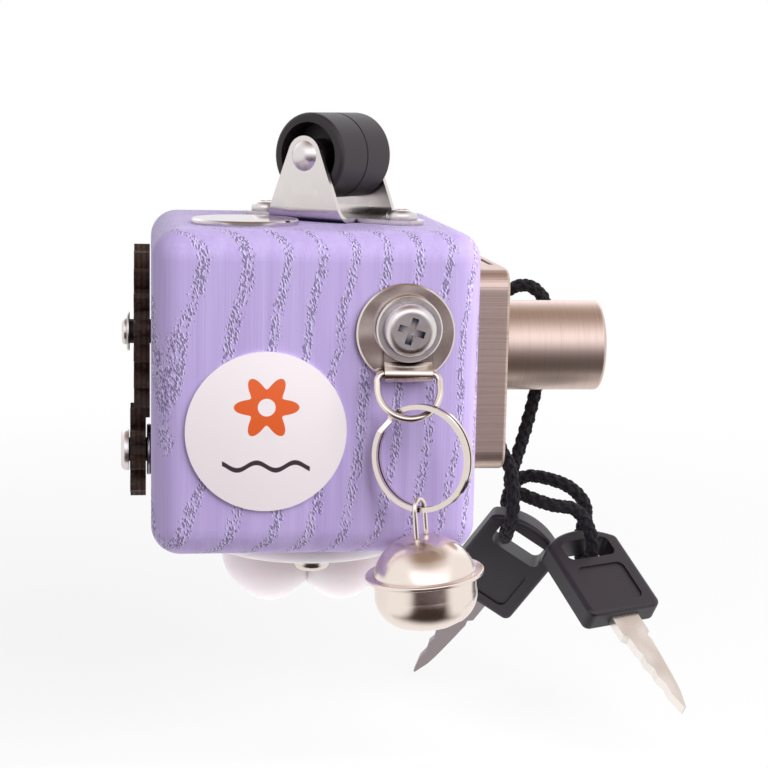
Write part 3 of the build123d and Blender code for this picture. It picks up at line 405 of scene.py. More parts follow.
def brushed_nickel(settings):
    """Die-cast zinc, linished and nickel plated: a warm satin, lined across the case and round the barrel."""
    material, tree, shader, mm = start_material("brushed_nickel", settings.lock_colour, 0.3, 1.0)
    # The lines' size along X, Y and Z and the range of their tone, on the case and on the barrel.
    tones = []
    for size, low, high in (((60, 90, 0.16), 0.28, 0.56), ((0.14, 14, 14), 0.0, 0.5)):
        scale = [1 / along for along in size]
        at = add_node(tree, "ShaderNodeMapping", {"Vector": mm, "Scale": scale}).outputs["Vector"]
        terms = {"Vector": at, "Scale": 1.0, "Detail": 3.0, "Roughness": 0.6}
        lines = add_node(tree, "ShaderNodeTexNoise", terms).outputs["Fac"]
        terms = {"Value": lines, "From Min": low, "From Max": high}
        tones.append(add_node(tree, "ShaderNodeMapRange", terms).outputs["Result"])
    case_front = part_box("lock_screws")[1][0] / MM
    out = add_node(tree, "ShaderNodeSeparateXYZ", {0: mm}).outputs["X"]
    terms = {0: out, 1: case_front + 0.2}
    barrel = add_node(tree, "ShaderNodeMath", terms, operation="GREATER_THAN").outputs[0]
    terms = {0: barrel, 2: tones[0], 3: tones[1]}
    tone = add_node(tree, "ShaderNodeMix", terms, data_type="FLOAT").outputs[0]
    terms = {"Value": tone, "To Min": 0.48, "To Max": 0.38}
    rough = add_node(tree, "ShaderNodeMapRange", terms).outputs["Result"]
    tree.links.new(rough, shader.inputs["Roughness"])
    terms = {0: tone, 6: linear(settings.lock_shade), 7: linear(settings.lock_colour)}
    colour = add_node(tree, "ShaderNodeMix", terms, data_type="RGBA").outputs[2]
    tree.links.new(colour, shader.inputs["Base Color"])
    terms = {"Height": tone, "Strength": 0.15, "Distance": 0.05 * MM}
    bump = add_node(tree, "ShaderNodeBump", terms).outputs["Normal"]
    tree.links.new(bump, shader.inputs["Normal"])
    return material


def zinc_plate(settings):
    """Stamped steel with bright zinc: pale grey, a little uneven, with soft handling marks."""
    material, tree, shader, mm = start_material("zinc_plate", settings.zinc_colour, 0.28, 1.0)
    # Painted shade: zinc darkened in recesses and seams.
    paint_recess_shade(tree, shader, settings.zinc_colour)
    cloud = roughen(tree, shader, mm, size=2.2, depth=0.05, strength=0.06, detail=5.0, fineness=0.65)
    terms = {"Value": cloud, "To Min": 0.16, "To Max": 0.46}
    rough = add_node(tree, "ShaderNodeMapRange", terms).outputs["Result"]
    tree.links.new(rough, shader.inputs["Roughness"])
    return material


def moulded_plastic(name, colour, roughness, grain):
    """Moulded plastic: an even soft sheen over a fine spark-eroded grain."""
    material, tree, shader, mm = start_material(name, colour, roughness, ior=1.49)
    roughen(tree, shader, mm, size=grain, depth=0.05, strength=0.12, detail=2.0)
    return material


def stained_plywood(settings):
    """Laser-cut plywood stained dark: matt, with burnt plies and paler ones by turns along its edge."""
    material, tree, shader, mm = start_material("stained_plywood", settings.ply_dark, 0.6)
    # A burnt ply and a paler one are a millimetre thick together.
    depth = add_node(tree, "ShaderNodeSeparateXYZ", {0: mm}).outputs["X"]
    ply = add_node(tree, "ShaderNodeMath", {0: depth}, operation="FRACT").outputs[0]
    terms = {"Value": ply, "From Min": 0.35, "From Max": 0.5}
    ply = add_node(tree, "ShaderNodeMapRange", terms).outputs["Result"]
    terms = {"Vector": mm, "Scale": (1 / 0.7, 1 / 0.5, 1 / 4.0)}
    at = add_node(tree, "ShaderNodeMapping", terms).outputs["Vector"]
    terms = {"Vector": at, "Scale": 1.0, "Detail": 4.0, "Roughness": 0.65}
    fibre = add_node(tree, "ShaderNodeTexNoise", terms).outputs["Fac"]
    terms = {"Value": fibre, "From Min": 0.4, "From Max": 0.7}
    fibre = add_node(tree, "ShaderNodeMapRange", terms).outputs["Result"]
    tone = add_node(tree, "ShaderNodeMath", {0: ply, 1: fibre}, operation="MULTIPLY").outputs[0]
    terms = {0: tone, 6: linear(settings.ply_dark), 7: linear(settings.ply_pale)}
    colour = add_node(tree, "ShaderNodeMix", terms, data_type="RGBA").outputs[2]
    tree.links.new(colour, shader.inputs["Base Color"])
    terms = {"Height": fibre, "Strength": 0.4, "Distance": 0.12 * MM}
    bump = add_node(tree, "ShaderNodeBump", terms).outputs["Normal"]
    tree.links.new(bump, shader.inputs["Normal"])
    return material


def milky_silicone(settings):
    """Moulded silicone: milky white that light sinks into, with a smooth satin skin."""
    material, _, shader, _ = start_material("milky_silicone", settings.silicone_colour, 0.34, ior=1.41)
    shader.inputs["Subsurface Weight"].default_value = 1.0
    shader.inputs["Subsurface Radius"].default_value = (9 * MM, 7 * MM, 7.5 * MM)
    shader.inputs["Subsurface Scale"].default_value = 1.0
    return material


def mirror_acrylic(settings):
    """Acrylic mirror: silvered behind, so it shows a plain clear reflection."""
    return start_material("mirror_acrylic", settings.mirror_colour, 0.06, 1.0)[0]


def braided_polyester(settings):
    """Braided polyester: near black, each strand with a dull sheen and a fine uneven surface."""
    material, tree, shader, mm = start_material("braided_polyester", settings.cord_colour, 0.75)
    shader.inputs["Sheen Weight"].default_value = 0.2
    shader.inputs["Sheen Roughness"].default_value = 0.45
    shader.inputs["Sheen Tint"].default_value = linear(settings.sheen_colour)
    roughen(tree, shader, mm, size=0.25, depth=0.1, strength=0.5, detail=3.0)
    return material


# Cord


def mesh_of(curve):
    """The mesh that a curve makes, in the curve's place."""
    holder = bpy.data.objects.new(curve.name, curve)
    bpy.context.scene.collection.objects.link(holder)
    bpy.context.view_layer.update()
    mesh = bpy.data.meshes.new_from_object(holder)
    bpy.data.objects.remove(holder)
    bpy.data.curves.remove(curve)
    return mesh


def route_line(points, closed=False):
    """Points along the smooth line that a cord's route makes."""
    curve = bpy.data.curves.new("cord_line", "CURVE")
    curve.dimensions = "3D"
    curve.resolution_u = 16
    spline = curve.splines.new("NURBS")
    points = list(points)
    spline.points.add(len(points) - 1)
    for control, point in zip(spline.points, points):
        control.co = (*point, 1.0)
    spline.order_u = 3
    spline.use_endpoint_u = not closed
    spline.use_cyclic_u = closed
    mesh = mesh_of(curve)
    line = [vertex.co.copy() for vertex in mesh.vertices]
    bpy.data.meshes.remove(mesh)
    return line


def even_steps(line, step):
    """The line's points again, a fixed step apart."""
    out = [line[0].copy()]
    left = step
    for before, after in zip(line, line[1:]):
        run = (after - before).length
        at = 0.0
        while run - at > left:
            at += left
            out.append(before.lerp(after, at / run))
            left = step
        left -= run - at
    return out


def carried_frames(line):
    """A side and a lift direction at each point, carried along the line without twist."""
    frames = []
    ahead = (line[1] - line[0]).normalized()
    side = ahead.orthogonal().normalized()
    for i, point in enumerate(line):
        following = (line[min(i + 1, len(line) - 1)] - line[max(i - 1, 0)]).normalized()
        side = (ahead.rotation_difference(following) @ side).normalized()
        ahead = following
        frames.append((point, side, ahead.cross(side)))
    return frames


def braid_mesh(name, line, radius, settings):
    """A round braid on a line: strands that wind both ways, over one and under one, round a dark core."""
    curve = bpy.data.curves.new(name, "CURVE")
    curve.dimensions = "3D"
    curve.resolution_u = 1
    curve.bevel_resolution = 1
    curve.use_fill_caps = True
    strand_radius = radius * STRAND_SHARE
    wave = radius * WAVE_SHARE
    mid = radius - strand_radius - wave
    curve.bevel_depth = strand_radius
    frames = carried_frames(line)
    step = (line[1] - line[0]).length
    strands = settings.strands
    for way in (1, -1):
        for strand in range(strands):
            spline = curve.splines.new("POLY")
            spline.points.add(len(frames) - 1)
            for i, (point, side, lift) in enumerate(frames):
                turned = math.tau * i * step / settings.pitch
                angle = way * turned + math.tau * strand / strands
                reach = mid + way * wave * math.cos(strands * turned)
                at = point + side * (reach * math.cos(angle)) + lift * (reach * math.sin(angle))
                spline.points[i].co = (*at, 1.0)
    core = curve.splines.new("POLY")
    core.points.add(len(frames) - 1)
    for control, (point, _, _) in zip(core.points, frames):
        control.co = (*point, 1.0)
        control.radius = CORE_SHARE * radius / strand_radius
    mesh = mesh_of(curve)
    mesh.name = name
    return mesh


# Settings


class WoodSettings(bpy.types.PropertyGroup):
    """The painted block. Lengths are in millimetres."""

    paint_pale: StringProperty(name="Pale paint", description="Paint on the raised grain", default="#cab8ea")
    paint_deep: StringProperty(name="Deep paint", description="Paint between brush marks", default="#b8a3da")
    pore_colour: StringProperty(name="Pores", description="Colour down in the open pores", default="#574487")
    # Painted highlight: paler paint beside each pore, standing in for light on its raised lip.
    pore_lip_highlight: StringProperty(name="Lips", description="Thicker paint on the pores' lips", default="#eee7fd")
    ring_width: FloatProperty(
        name="Ring width", description="Width of one growth ring", default=4.5, min=1.0, max=20.0
    )
    ring_lean: FloatProperty(
        name="Ring lean", description="How far the rings lean over in their height", default=0.11
    )
    ring_sway: FloatProperty(name="Ring sway", description="How far the rings wander", default=5.5, min=0.0)
    pore_width: FloatProperty(
        name="Pore width", description="Width of the space for one pore", default=0.32, min=0.05
    )
    pore_length: FloatProperty(
        name="Pore length", description="Length of the space for one pore", default=0.8, min=0.05
    )
    pore_lean: FloatProperty(
        name="Pore lean",
        description="The pores' lean from the upright",
        default=math.radians(16),
        subtype="ANGLE",
    )


class PrintSettings(bpy.types.PropertyGroup):
    """The badge's plain print. Lengths are in millimetres."""

    white_ink: StringProperty(name="White", description="Ground of the print", default="#fdf4f8")
    flower_ink: StringProperty(name="Flower", description="Ink of the flower", default="#ea6428")
    line_ink: StringProperty(name="Line", description="Ink of the wavy line", default="#3a3038")
    flower_rise: FloatProperty(
        name="Flower's rise", description="The flower's height over the badge's middle", default=4.6
    )
    flower_radius: FloatProperty(
        name="Flower's radius", description="Halfway between the petals' tips and their gaps", default=4.6
    )
    petal_depth: FloatProperty(
        name="Petal depth", description="From that radius to a petal's tip", default=1.3
    )
    petals: IntProperty(name="Petals", description="Petals round the flower", default=6, min=3, max=12)
    eye_radius: FloatProperty(name="Eye", description="Radius of the flower's white eye", default=1.6)
    line_drop: FloatProperty(
        name="Line's drop", description="The line's depth under the badge's middle", default=6.2
    )
    line_reach: FloatProperty(name="Line's reach", description="Half of the line's length", default=7.95)
    line_half: FloatProperty(name="Line's half width", description="Half of its thickness", default=0.45)
    line_wave: FloatProperty(name="Line's wave", description="The wave's height", default=0.7)


class MetalSettings(bpy.types.PropertyGroup):
    """The hardware's metals."""

    nickel_colour: StringProperty(name="Nickel", description="Plate on rings and washers", default="#e2d6cd")
    bell_colour: StringProperty(name="Bell", description="Plate on the bell", default="#efe2d8")
    pea_colour: StringProperty(name="Pea", description="Plain steel in the bell", default="#77767a")
    lock_colour: StringProperty(name="Lock", description="Plate on the lock", default="#ddc7bb")
    lock_shade: StringProperty(name="Lock lines", description="Plate in the brush lines", default="#b8a095")
    zinc_colour: StringProperty(name="Zinc", description="Plate on brackets and screws", default="#e0dad8")
    blade_colour: StringProperty(name="Key blade", description="Bright stamped steel", default="#f8f1ea")
    # Painted shade: the second key's blade is a darker copy of the same steel, standing in for the shade and
    # dark reflection on its face turned down.
    shaded_blade_colour: StringProperty(
        name="Shaded blade", description="The other key's duller steel", default="#968b8d"
    )
    brass_colour: StringProperty(name="Wafers", description="Stamped brass", default="#c4a560")
    mirror_colour: StringProperty(name="Mirror", description="Silver behind the acrylic", default="#cfc6c9")


class MouldedSettings(bpy.types.PropertyGroup):
    """Plastic, plywood and silicone."""

    wheel_colour: StringProperty(name="Wheel", description="The caster's plastic", default="#211a1e")
    head_colour: StringProperty(name="Key head", description="The keys' plastic", default="#262026")
    ply_dark: StringProperty(name="Plywood, dark", description="Burnt and stained plies", default="#23130b")
    ply_pale: StringProperty(name="Plywood, pale", description="Fibres of paler plies", default="#6b4526")
    silicone_colour: StringProperty(
        name="Silicone", description="The bubbles and their pad", default="#f8ebee"
    )
    bubble_inset: FloatProperty(
        name="Bubble inset",
        description="From the cut between the bubbles to each one's middle",
        default=0.0069,
        unit="LENGTH",
    )
    bubble_steps: IntProperty(
        name="Bubble steps", description="Faces round a bubble", default=72, min=16, max=256
    )


class CordSettings(bpy.types.PropertyGroup):
    """The key cord."""

    cord_colour: StringProperty(name="Cord", description="The braid's dyed yarn", default="#100d12")
    sheen_colour: StringProperty(name="Sheen", description="Tint of the yarn's sheen", default="#6b6276")
    diameter: FloatProperty(
        name="Diameter",
        description="Outside of the braid",
        default=0.003,
        min=0.001,
        max=0.01,
        unit="LENGTH",
    )
    pitch: FloatProperty(
        name="Pitch",
        description="One strand's full turn",
        default=0.0095,
        min=0.002,
        max=0.05,
        unit="LENGTH",
    )
    strands: IntProperty(name="Strands", description="Strands that wind each way", default=4, min=2, max=12)


class StageSettings(bpy.types.PropertyGroup):
    """Floor, light and camera."""

    floor_colour: StringProperty(name="Floor", description="The pale studio floor", default="#f6f6f7")
    floor_reach: FloatProperty(
        name="Floor's reach", description="Half of the floor's side", default=2.5, min=0.5, unit="LENGTH"
    )
    floor_front: FloatProperty(
        name="Floor's front",
        description="From the object to the floor's front edge",
        default=0.03,
        unit="LENGTH",
    )
    # Painted light: how brightly the floor glows up onto what hangs over it, as a lamp would.
    floor_glow: FloatProperty(
        name="Floor's glow",
        description="The lit paper's level under what hangs over it",
        default=1.9,
        min=0,
        max=5,
    )
    room_low: StringProperty(
        name="Room, low", description="Below the table's front edge, as metal shows it", default="#3a2d28"
    )
    room_mid: StringProperty(
        name="Room, level", description="Round the camera, as metal shows it", default="#86787b"
    )
    room_lamp: StringProperty(
        name="Room, lamp", description="The soft lamp, as metal shows it", default="#f4f5fc"
    )
    lamp_level: FloatProperty(
        name="Lamp level", description="How bright the soft lamp shows in metal", default=1.9, min=0, max=10
    )
    room_high: StringProperty(name="Room, high", description="Overhead, as metal shows it", default="#a28c7a")
    soft_level: FloatProperty(
        name="Soft light", description="Light from the room in front", default=0.12, min=0, max=2
    )
    bounce_level: FloatProperty(
        name="Bounce", description="Light off the white paper below and behind", default=0.9, min=0, max=2
    )
    bounce_colour: StringProperty(name="Bounce colour", description="Tint of that light", default="#fff2f6")
    camera_place: FloatVectorProperty(
        name="Camera",
        description="Where the camera stands",
        default=(-0.02998, -0.3441, 0.05403),
        unit="LENGTH",
    )
    aim_right: FloatProperty(
        name="Aim right",
        description="The aim's offset to the right of the block's middle",
        default=0.01575,
        unit="LENGTH",
    )
    aim_down: FloatProperty(
        name="Aim down",
        description="The aim's offset below the block's middle",
        default=0.00241,
        unit="LENGTH",
    )
    roll: FloatProperty(
        name="Roll", description="The camera's lean", default=math.radians(0.8), subtype="ANGLE"
    )
    lens: FloatProperty(
        name="Lens", description="Focal length, in millimetres", default=82.95, min=20, max=300
    )


# Operators


class CUBE_OT_paint_block(bpy.types.Operator):
    """Paints the wooden block"""

    bl_idname = "activity_cube.paint_block"
    bl_label = "Paint the Block"

    def execute(self, context):
        finish(["wooden_cube"], painted_ash(context.scene.cube_wood))
        return {"FINISHED"}


class CUBE_OT_finish_badge(bpy.types.Operator):
    """Gives the badge its print under clear resin"""

    bl_idname = "activity_cube.finish_badge"
    bl_label = "Finish the Badge"

    def execute(self, context):
        finish(["badge"], domed_resin(context.scene.cube_print))
        return {"FINISHED"}


class CUBE_OT_finish_hanger(bpy.types.Operator):
    """Plates the washers, strap and screw, both rings and the pad's screws"""

    bl_idname = "activity_cube.finish_hanger"
    bl_label = "Finish the Hanger and Rings"

    def execute(self, context):
        metals = context.scene.cube_metals
        plate = bright_nickel("bright_nickel", metals.nickel_colour, 0.17, 0.6)
        finish(["hanger_washer_large", "hanger_strap", "d_ring", "split_ring", "pad_screws"], plate)
        zinc = zinc_plate(metals)
        finish(["hanger_washer_small", "hanger_screw"], zinc)
        return {"FINISHED"}


class CUBE_OT_finish_bell(bpy.types.Operator):
    """Plates the bell and its loop, and finishes the pea in it"""

    bl_idname = "activity_cube.finish_bell"
    bl_label = "Finish the Bell"

    def execute(self, context):
        metals = context.scene.cube_metals
        plate = bright_nickel("polished_nickel", metals.bell_colour, 0.2, 0.8)
        finish(["bell_upper", "bell_lower", "bell_loop"], plate)
        finish(["bell_pea"], bright_nickel("plain_steel", metals.pea_colour, 0.35, 0.5))
        return {"FINISHED"}


class CUBE_OT_finish_caster(bpy.types.Operator):
    """Finishes the caster's bracket, axle, screws and wheel, and the mirror beside it"""

    bl_idname = "activity_cube.finish_caster"
    bl_label = "Finish the Caster and Mirror"

    def execute(self, context):
        zinc = bpy.data.materials["zinc_plate"]
        finish(["caster_bracket", "caster_screws", "caster_axle"], zinc)
        wheel_colour = context.scene.cube_moulded.wheel_colour
        finish(["caster_wheel"], moulded_plastic("wheel_plastic", wheel_colour, 0.48, 0.5))
        finish(["mirror_disc"], mirror_acrylic(context.scene.cube_metals))
        return {"FINISHED"}


class CUBE_OT_finish_gears(bpy.types.Operator):
    """Stains the gears and finishes their bushes, washers and screws"""

    bl_idname = "activity_cube.finish_gears"
    bl_label = "Finish the Gears"

    def execute(self, context):
        moulded = context.scene.cube_moulded
        finish(["large_gear", "small_gear"], stained_plywood(moulded))
        zinc = bpy.data.materials["zinc_plate"]
        finish(["small_gear_spacer", "large_gear_washer", "large_gear_screw", "small_gear_screw"], zinc)
        finish(["large_gear_bush", "small_gear_bush"], bpy.data.materials["wheel_plastic"])
        return {"FINISHED"}


class CUBE_OT_finish_lock(bpy.types.Operator):
    """Plates the lock, inside and out, and the cord's screw eye"""

    bl_idname = "activity_cube.finish_lock"
    bl_label = "Finish the Lock"

    def execute(self, context):
        metals = context.scene.cube_metals
        finish(["lock_case", "lock_plug", "lock_bolt"], brushed_nickel(metals))
        zinc = bpy.data.materials["zinc_plate"]
        finish(["lock_back_plate", "lock_screws", "lock_drive_pin", "cord_eye"], zinc)
        finish(["lock_wafers"], bright_nickel("stamped_brass", metals.brass_colour, 0.3, 0.5))
        return {"FINISHED"}


class CUBE_OT_finish_keys(bpy.types.Operator):
    """Finishes the keys' heads and blades"""

    bl_idname = "activity_cube.finish_keys"
    bl_label = "Finish the Keys"

    def execute(self, context):
        head = moulded_plastic("key_head_plastic", context.scene.cube_moulded.head_colour, 0.4, 0.35)
        finish(["key_1_head", "key_2_head"], head)
        metals = context.scene.cube_metals
        finish(["key_1_blade"], bright_nickel("stamped_steel", metals.blade_colour, 0.24, 0.4))
        # Painted shade: the second key's blade gets a darker copy of the blade steel.
        finish(["key_2_blade"], bright_nickel("shaded_blade_steel", metals.shaded_blade_colour, 0.3, 0.4))
        return {"FINISHED"}


class CUBE_OT_make_bubbles(bpy.types.Operator):
    """Finishes the pad and makes its two soft bubbles"""

    bl_idname = "activity_cube.make_bubbles"
    bl_label = "Make the Bubbles"

    def execute(self, context):
        moulded = context.scene.cube_moulded
        silicone = milky_silicone(moulded)
        finish(["pad_base"], silicone)
        for side, away in (("left", 1), ("right", -1)):
            low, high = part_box(f"bubble_{side}")
            cut = high[0] if side == "left" else low[0]
            radius = (high[1] - low[1]) / 2
            middle = Vector((cut - away * moulded.bubble_inset, (low[1] + high[1]) / 2, 0))
            shape = bmesh.new()
            rim = [
                shape.verts.new((middle.x + radius * out, middle.y, high[2] + (low[2] - high[2]) * down))
                for out, down in BUBBLE_SHARES
            ]
            edges = [shape.edges.new(pair) for pair in zip(rim, rim[1:])]
            bmesh.ops.spin(
                shape,
                geom=rim + edges,
                cent=middle,
                axis=(0, 0, 1),
                angle=math.tau,
                steps=moulded.bubble_steps,
                use_merge=True,
            )
            bmesh.ops.remove_doubles(shape, verts=shape.verts, dist=TINY)
            bmesh.ops.recalc_face_normals(shape, faces=shape.faces)
            bmesh.ops.bisect_plane(
                shape,
                geom=shape.verts[:] + shape.edges[:] + shape.faces[:],
                plane_co=(cut, 0, 0),
                plane_no=(away, 0, 0),
                clear_outer=True,
            )
            open_edges = [edge for edge in shape.edges if edge.is_boundary]
            bmesh.ops.holes_fill(shape, edges=open_edges, sides=0)
            bmesh.ops.recalc_face_normals(shape, faces=shape.faces)
            mesh = bpy.data.meshes.new(f"soft_bubble_{side}")
            shape.to_mesh(mesh)
            shape.free()
            bubble = add_piece(mesh.name, mesh, silicone, f"bubble_{side}_body")
            for edge in mesh.edges:
                ends = [mesh.vertices[i].co.x for i in edge.vertices]
                edge.use_edge_sharp = all(abs(x - cut) < TINY for x in ends)
            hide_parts(f"bubble_{side}")
        return {"FINISHED"}


class CUBE_OT_lay_cord(bpy.types.Operator):
    """Lays the braided key cord and ties its knot"""

    bl_idname = "activity_cube.lay_cord"
    bl_label = "Lay the Key Cord"

    def execute(self, context):
        settings = context.scene.cube_cord
        yarn = braided_polyester(settings)
        line = route_line(CORD_ROUTE)
        steps = even_steps(line, CORD_STEP)
        mesh = braid_mesh("key_cord_braid", steps, settings.diameter / 2, settings)
        braid = add_piece("key_cord_braid", mesh, yarn, "cube")
        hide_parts("key_cord")
        knot_line = route_line(self.knot_route(), closed=True)
        knot_line.append(knot_line[0])
        knot_mesh = braid_mesh("cord_knot_braid", even_steps(knot_line, KNOT_STEP), KNOT_RADIUS, settings)
        knot = add_piece("cord_knot_braid", knot_mesh, yarn, "cube")
        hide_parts("cord_knot")
        return {"FINISHED"}

    def knot_route(self):
        """A trefoil's control points, round the screw eye's wire."""
        low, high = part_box("cord_knot")
        middle = (Vector(low) + Vector(high)) / 2
        for step in range(KNOT_POINTS):
            turn = math.tau * step / KNOT_POINTS
            across = math.sin(turn) + 2 * math.sin(2 * turn)
            along = math.cos(turn) - 2 * math.cos(2 * turn)
            yield middle + KNOT_UNIT * Vector((across, along, -math.sin(3 * turn)))


class CUBE_OT_set_stage(bpy.types.Operator):
    """Sets the floor, the light and the camera"""

    bl_idname = "activity_cube.set_stage"
    bl_label = "Set the Stage"

    def execute(self, context):
        settings = context.scene.cube_stage
        scene = context.scene
        scene.view_settings.view_transform = "Standard"
        low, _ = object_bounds()
        self.lay_floor(scene, settings, low[2] - 2 * MM)
        self.light_world(scene, settings)
        for name, place, aim, size, power in LAMPS:
            lamp = bpy.data.lights.new(name, "AREA")
            lamp.size = size
            lamp.energy = power
            holder = bpy.data.objects.new(name, lamp)
            holder.location = place
            holder.rotation_euler = (Vector(aim) - Vector(place)).to_track_quat("-Z", "Y").to_euler()
            holder.visible_glossy = False
            scene.collection.objects.link(holder)
        self.place_camera(scene, settings)
        return {"FINISHED"}

    def lay_floor(self, scene, settings, level):
        """A wide pale floor that keeps a faint shadow, runs out to white, and glows up onto the object near
        it.
        """
        shape = bmesh.new()
        bmesh.ops.create_grid(shape, x_segments=1, y_segments=1, size=settings.floor_reach)
        bmesh.ops.translate(
            shape, verts=shape.verts, vec=(0, settings.floor_reach - settings.floor_front, level)
        )
        mesh = bpy.data.meshes.new("studio_floor")
        shape.to_mesh(mesh)
        shape.free()
        material = bpy.data.materials.new("matt_paper")
        material.use_nodes = True
        tree = material.node_tree
        tree.nodes.clear()
        place = add_node(tree, "ShaderNodeTexCoord").outputs["Object"]
        away = add_node(tree, "ShaderNodeVectorMath", {0: place}, operation="LENGTH").outputs["Value"]
        forward = add_node(tree, "ShaderNodeSeparateXYZ", {0: place}).outputs["Y"]
        # The paper is lit to white but for a share near the object, which keeps the shadow.
        shares = []
        for distance, near, far, start, end in (
            (away, 0.1, 0.4, 0.84, 1.0),
            (forward, -settings.floor_front, 0.0, 1.0, 0.0),
        ):
            terms = {"Value": distance, "From Min": near, "From Max": far, "To Min": start, "To Max": end}
            share = add_node(tree, "ShaderNodeMapRange", terms, interpolation_type="SMOOTHSTEP")
            shares.append(share.outputs["Result"])
        terms = {0: shares[0], 1: shares[1]}
        lit = add_node(tree, "ShaderNodeMath", terms, operation="MAXIMUM").outputs[0]
        # Painted light: near the object the floor glows brighter to the object's own surfaces, lighting what
        # hangs over it from below as a lamp would; further out less.
        terms = {"Value": away, "From Min": 0.075, "From Max": 0.13, "To Max": 0.6}
        terms["To Min"] = settings.floor_glow
        under = add_node(tree, "ShaderNodeMapRange", terms).outputs["Result"]
        bounced = add_node(tree, "ShaderNodeLightPath").outputs["Is Diffuse Ray"]
        terms = {0: bounced, 2: 1.0, 3: under}
        strength = add_node(tree, "ShaderNodeMix", terms, data_type="FLOAT").outputs[0]
        paper = add_node(tree, "ShaderNodeBsdfDiffuse", {"Color": linear(settings.floor_colour)})
        glow = add_node(tree, "ShaderNodeEmission", {"Color": linear(WHITE), "Strength": strength})
        terms = {0: lit, 1: paper.outputs["BSDF"], 2: glow.outputs["Emission"]}
        mixed = add_node(tree, "ShaderNodeMixShader", terms)
        add_node(tree, "ShaderNodeOutputMaterial", {"Surface": mixed.outputs["Shader"]})
        mesh.materials.append(material)
        floor = bpy.data.objects.new("studio_floor", mesh)
        scene.collection.objects.link(floor)
        floor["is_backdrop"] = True

    def light_world(self, scene, settings):
        """White paper behind, and the room in front as metal shows it: a soft lamp over a dim table edge."""
        world = bpy.data.worlds.new("studio")
        scene.world = world
        world.use_nodes = True
        tree = world.node_tree
        tree.nodes.clear()
        way = add_node(tree, "ShaderNodeTexCoord").outputs["Generated"]
        across, ahead, up = add_node(tree, "ShaderNodeSeparateXYZ", {0: way}).outputs
        terms = {"Value": up, "From Min": -1.0, "From Max": 1.0}
        level = add_node(tree, "ShaderNodeMapRange", terms).outputs["Result"]
        ramp = add_node(tree, "ShaderNodeValToRGB", {"Fac": level})
        stops = ramp.color_ramp.elements
        stops[0].position = 0.3
        stops[0].color = linear(settings.room_low)
        stops[1].position = 0.98
        stops[1].color = linear(settings.room_high)
        stops.new(0.44).color = linear(settings.room_mid)
        for lamp_edge in (0.68, 0.76):
            stops.new(lamp_edge).color = brightened(settings.room_lamp, settings.lamp_level)
        # The paper stands at both sides, behind and below.
        sides = add_node(tree, "ShaderNodeMath", {0: across}, operation="ABSOLUTE").outputs[0]
        behind = add_node(tree, "ShaderNodeMath", {0: ahead, 1: up}, operation="SUBTRACT").outputs[0]
        shares = []
        for turn, low, high in ((sides, 0.46, 0.8), (behind, 0.5, 1.2)):
            terms = {"Value": turn, "From Min": low, "From Max": high}
            share = add_node(tree, "ShaderNodeMapRange", terms, interpolation_type="SMOOTHSTEP")
            shares.append(share.outputs["Result"])
        terms = {0: shares[0], 1: shares[1]}
        paper = add_node(tree, "ShaderNodeMath", terms, operation="MAXIMUM").outputs[0]
        terms = {"Value": behind, "From Min": -0.3, "From Max": 0.7}
        facing = add_node(tree, "ShaderNodeMapRange", terms).outputs["Result"]
        rays = add_node(tree, "ShaderNodeLightPath").outputs
        terms = {0: rays["Is Camera Ray"], 1: rays["Is Transmission Ray"]}
        seen = add_node(tree, "ShaderNodeMath", terms, operation="MAXIMUM").outputs[0]
        dim = (settings.soft_level,) * 3 + (1.0,)
        bounce = brightened(settings.bounce_colour, settings.bounce_level)
        terms = {0: paper, 6: ramp.outputs["Color"], 7: linear(WHITE)}
        room = add_node(tree, "ShaderNodeMix", terms, data_type="RGBA").outputs[2]
        # Soft light on the object, the room in its metal, and plain white to the camera and through glass.
        colour = dim
        for share, light in ((facing, bounce), (rays["Is Glossy Ray"], room), (seen, linear(WHITE))):
            terms = {0: share, 6: colour, 7: light}
            colour = add_node(tree, "ShaderNodeMix", terms, data_type="RGBA").outputs[2]
        sky = add_node(tree, "ShaderNodeBackground", {"Color": colour, "Strength": 1.0})
        add_node(tree, "ShaderNodeOutputWorld", {"Surface": sky.outputs["Background"]})

    def place_camera(self, scene, settings):
        """The camera at the photograph's viewing angle."""
        place = Vector(settings.camera_place)
        ahead = (-place).normalized()
        right = ahead.cross(Vector((0, 0, 1))).normalized()
        up = right.cross(ahead)
        lean_right = right * math.cos(settings.roll) + up * math.sin(settings.roll)
        lean_up = up * math.cos(settings.roll) - right * math.sin(settings.roll)
        aim = lean_right * settings.aim_right - lean_up * settings.aim_down
        ahead = (aim - place).normalized()
        side = ahead.cross(lean_up).normalized()
        lift = side.cross(ahead)
        data = bpy.data.cameras.new("camera")
        data.lens = settings.lens
        data.sensor_width = 36.0
        data.clip_start = 0.01
        camera = bpy.data.objects.new("camera", data)
        turn = Matrix((side, lift, -ahead)).transposed().to_4x4()
        camera.matrix_world = Matrix.Translation(place) @ turn
        scene.collection.objects.link(camera)
        scene.camera = camera


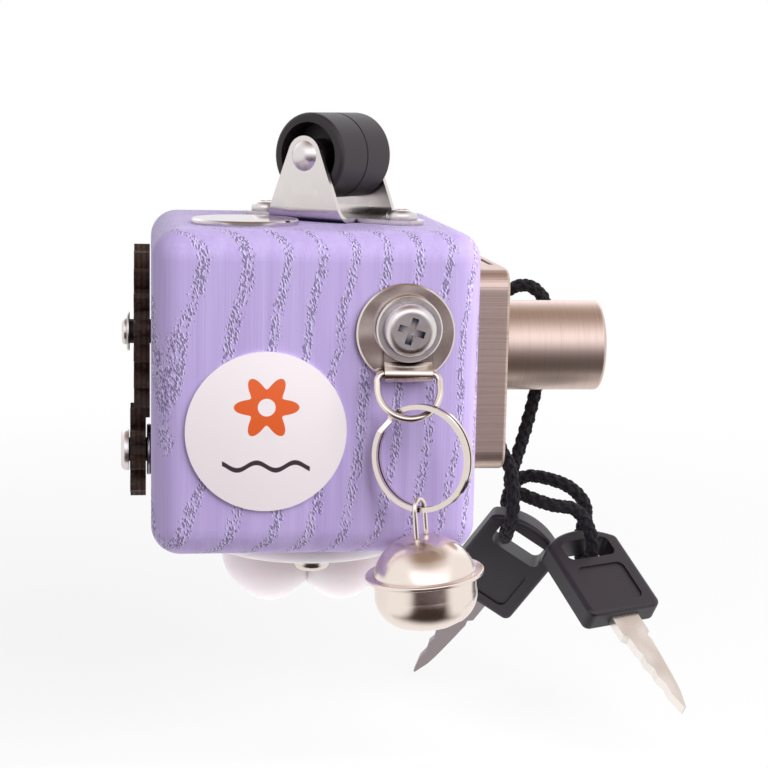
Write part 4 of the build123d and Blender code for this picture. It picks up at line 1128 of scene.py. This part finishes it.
class CUBE_PT_pieces(bpy.types.Panel):
    """Lists the pieces' operators and their settings"""

    bl_idname = "CUBE_PT_pieces"
    bl_label = "Activity Cube"
    bl_space_type = "VIEW_3D"
    bl_region_type = "UI"
    bl_category = "Activity Cube"

    def draw(self, context):
        for group in SETTINGS:
            box = self.layout.box()
            settings = getattr(context.scene, group)
            for name in settings.__annotations__:
                box.prop(settings, name)
        for operator in OPERATORS:
            self.layout.operator(operator.bl_idname)


OPERATORS = (
    CUBE_OT_paint_block,
    CUBE_OT_finish_badge,
    CUBE_OT_finish_hanger,
    CUBE_OT_finish_bell,
    CUBE_OT_finish_caster,
    CUBE_OT_finish_gears,
    CUBE_OT_finish_lock,
    CUBE_OT_finish_keys,
    CUBE_OT_make_bubbles,
    CUBE_OT_lay_cord,
    CUBE_OT_set_stage,
)
SETTINGS = {
    "cube_wood": WoodSettings,
    "cube_print": PrintSettings,
    "cube_metals": MetalSettings,
    "cube_moulded": MouldedSettings,
    "cube_cord": CordSettings,
    "cube_stage": StageSettings,
}


def register():
    for name, group in SETTINGS.items():
        bpy.utils.register_class(group)
        setattr(bpy.types.Scene, name, PointerProperty(type=group))
    for operator in OPERATORS:
        bpy.utils.register_class(operator)
    bpy.utils.register_class(CUBE_PT_pieces)


def unregister():
    bpy.utils.unregister_class(CUBE_PT_pieces)
    for operator in reversed(OPERATORS):
        bpy.utils.unregister_class(operator)
    for name, group in SETTINGS.items():
        delattr(bpy.types.Scene, name)
        bpy.utils.unregister_class(group)


def main():
    register()
    bpy.ops.activity_cube.paint_block()
    bpy.ops.activity_cube.finish_badge()
    bpy.ops.activity_cube.finish_hanger()
    bpy.ops.activity_cube.finish_bell()
    bpy.ops.activity_cube.finish_caster()
    bpy.ops.activity_cube.finish_gears()
    bpy.ops.activity_cube.finish_lock()
    bpy.ops.activity_cube.finish_keys()
    bpy.ops.activity_cube.make_bubbles()
    bpy.ops.activity_cube.lay_cord()
    bpy.ops.activity_cube.set_stage()


if __name__ == "__main__":
    main()
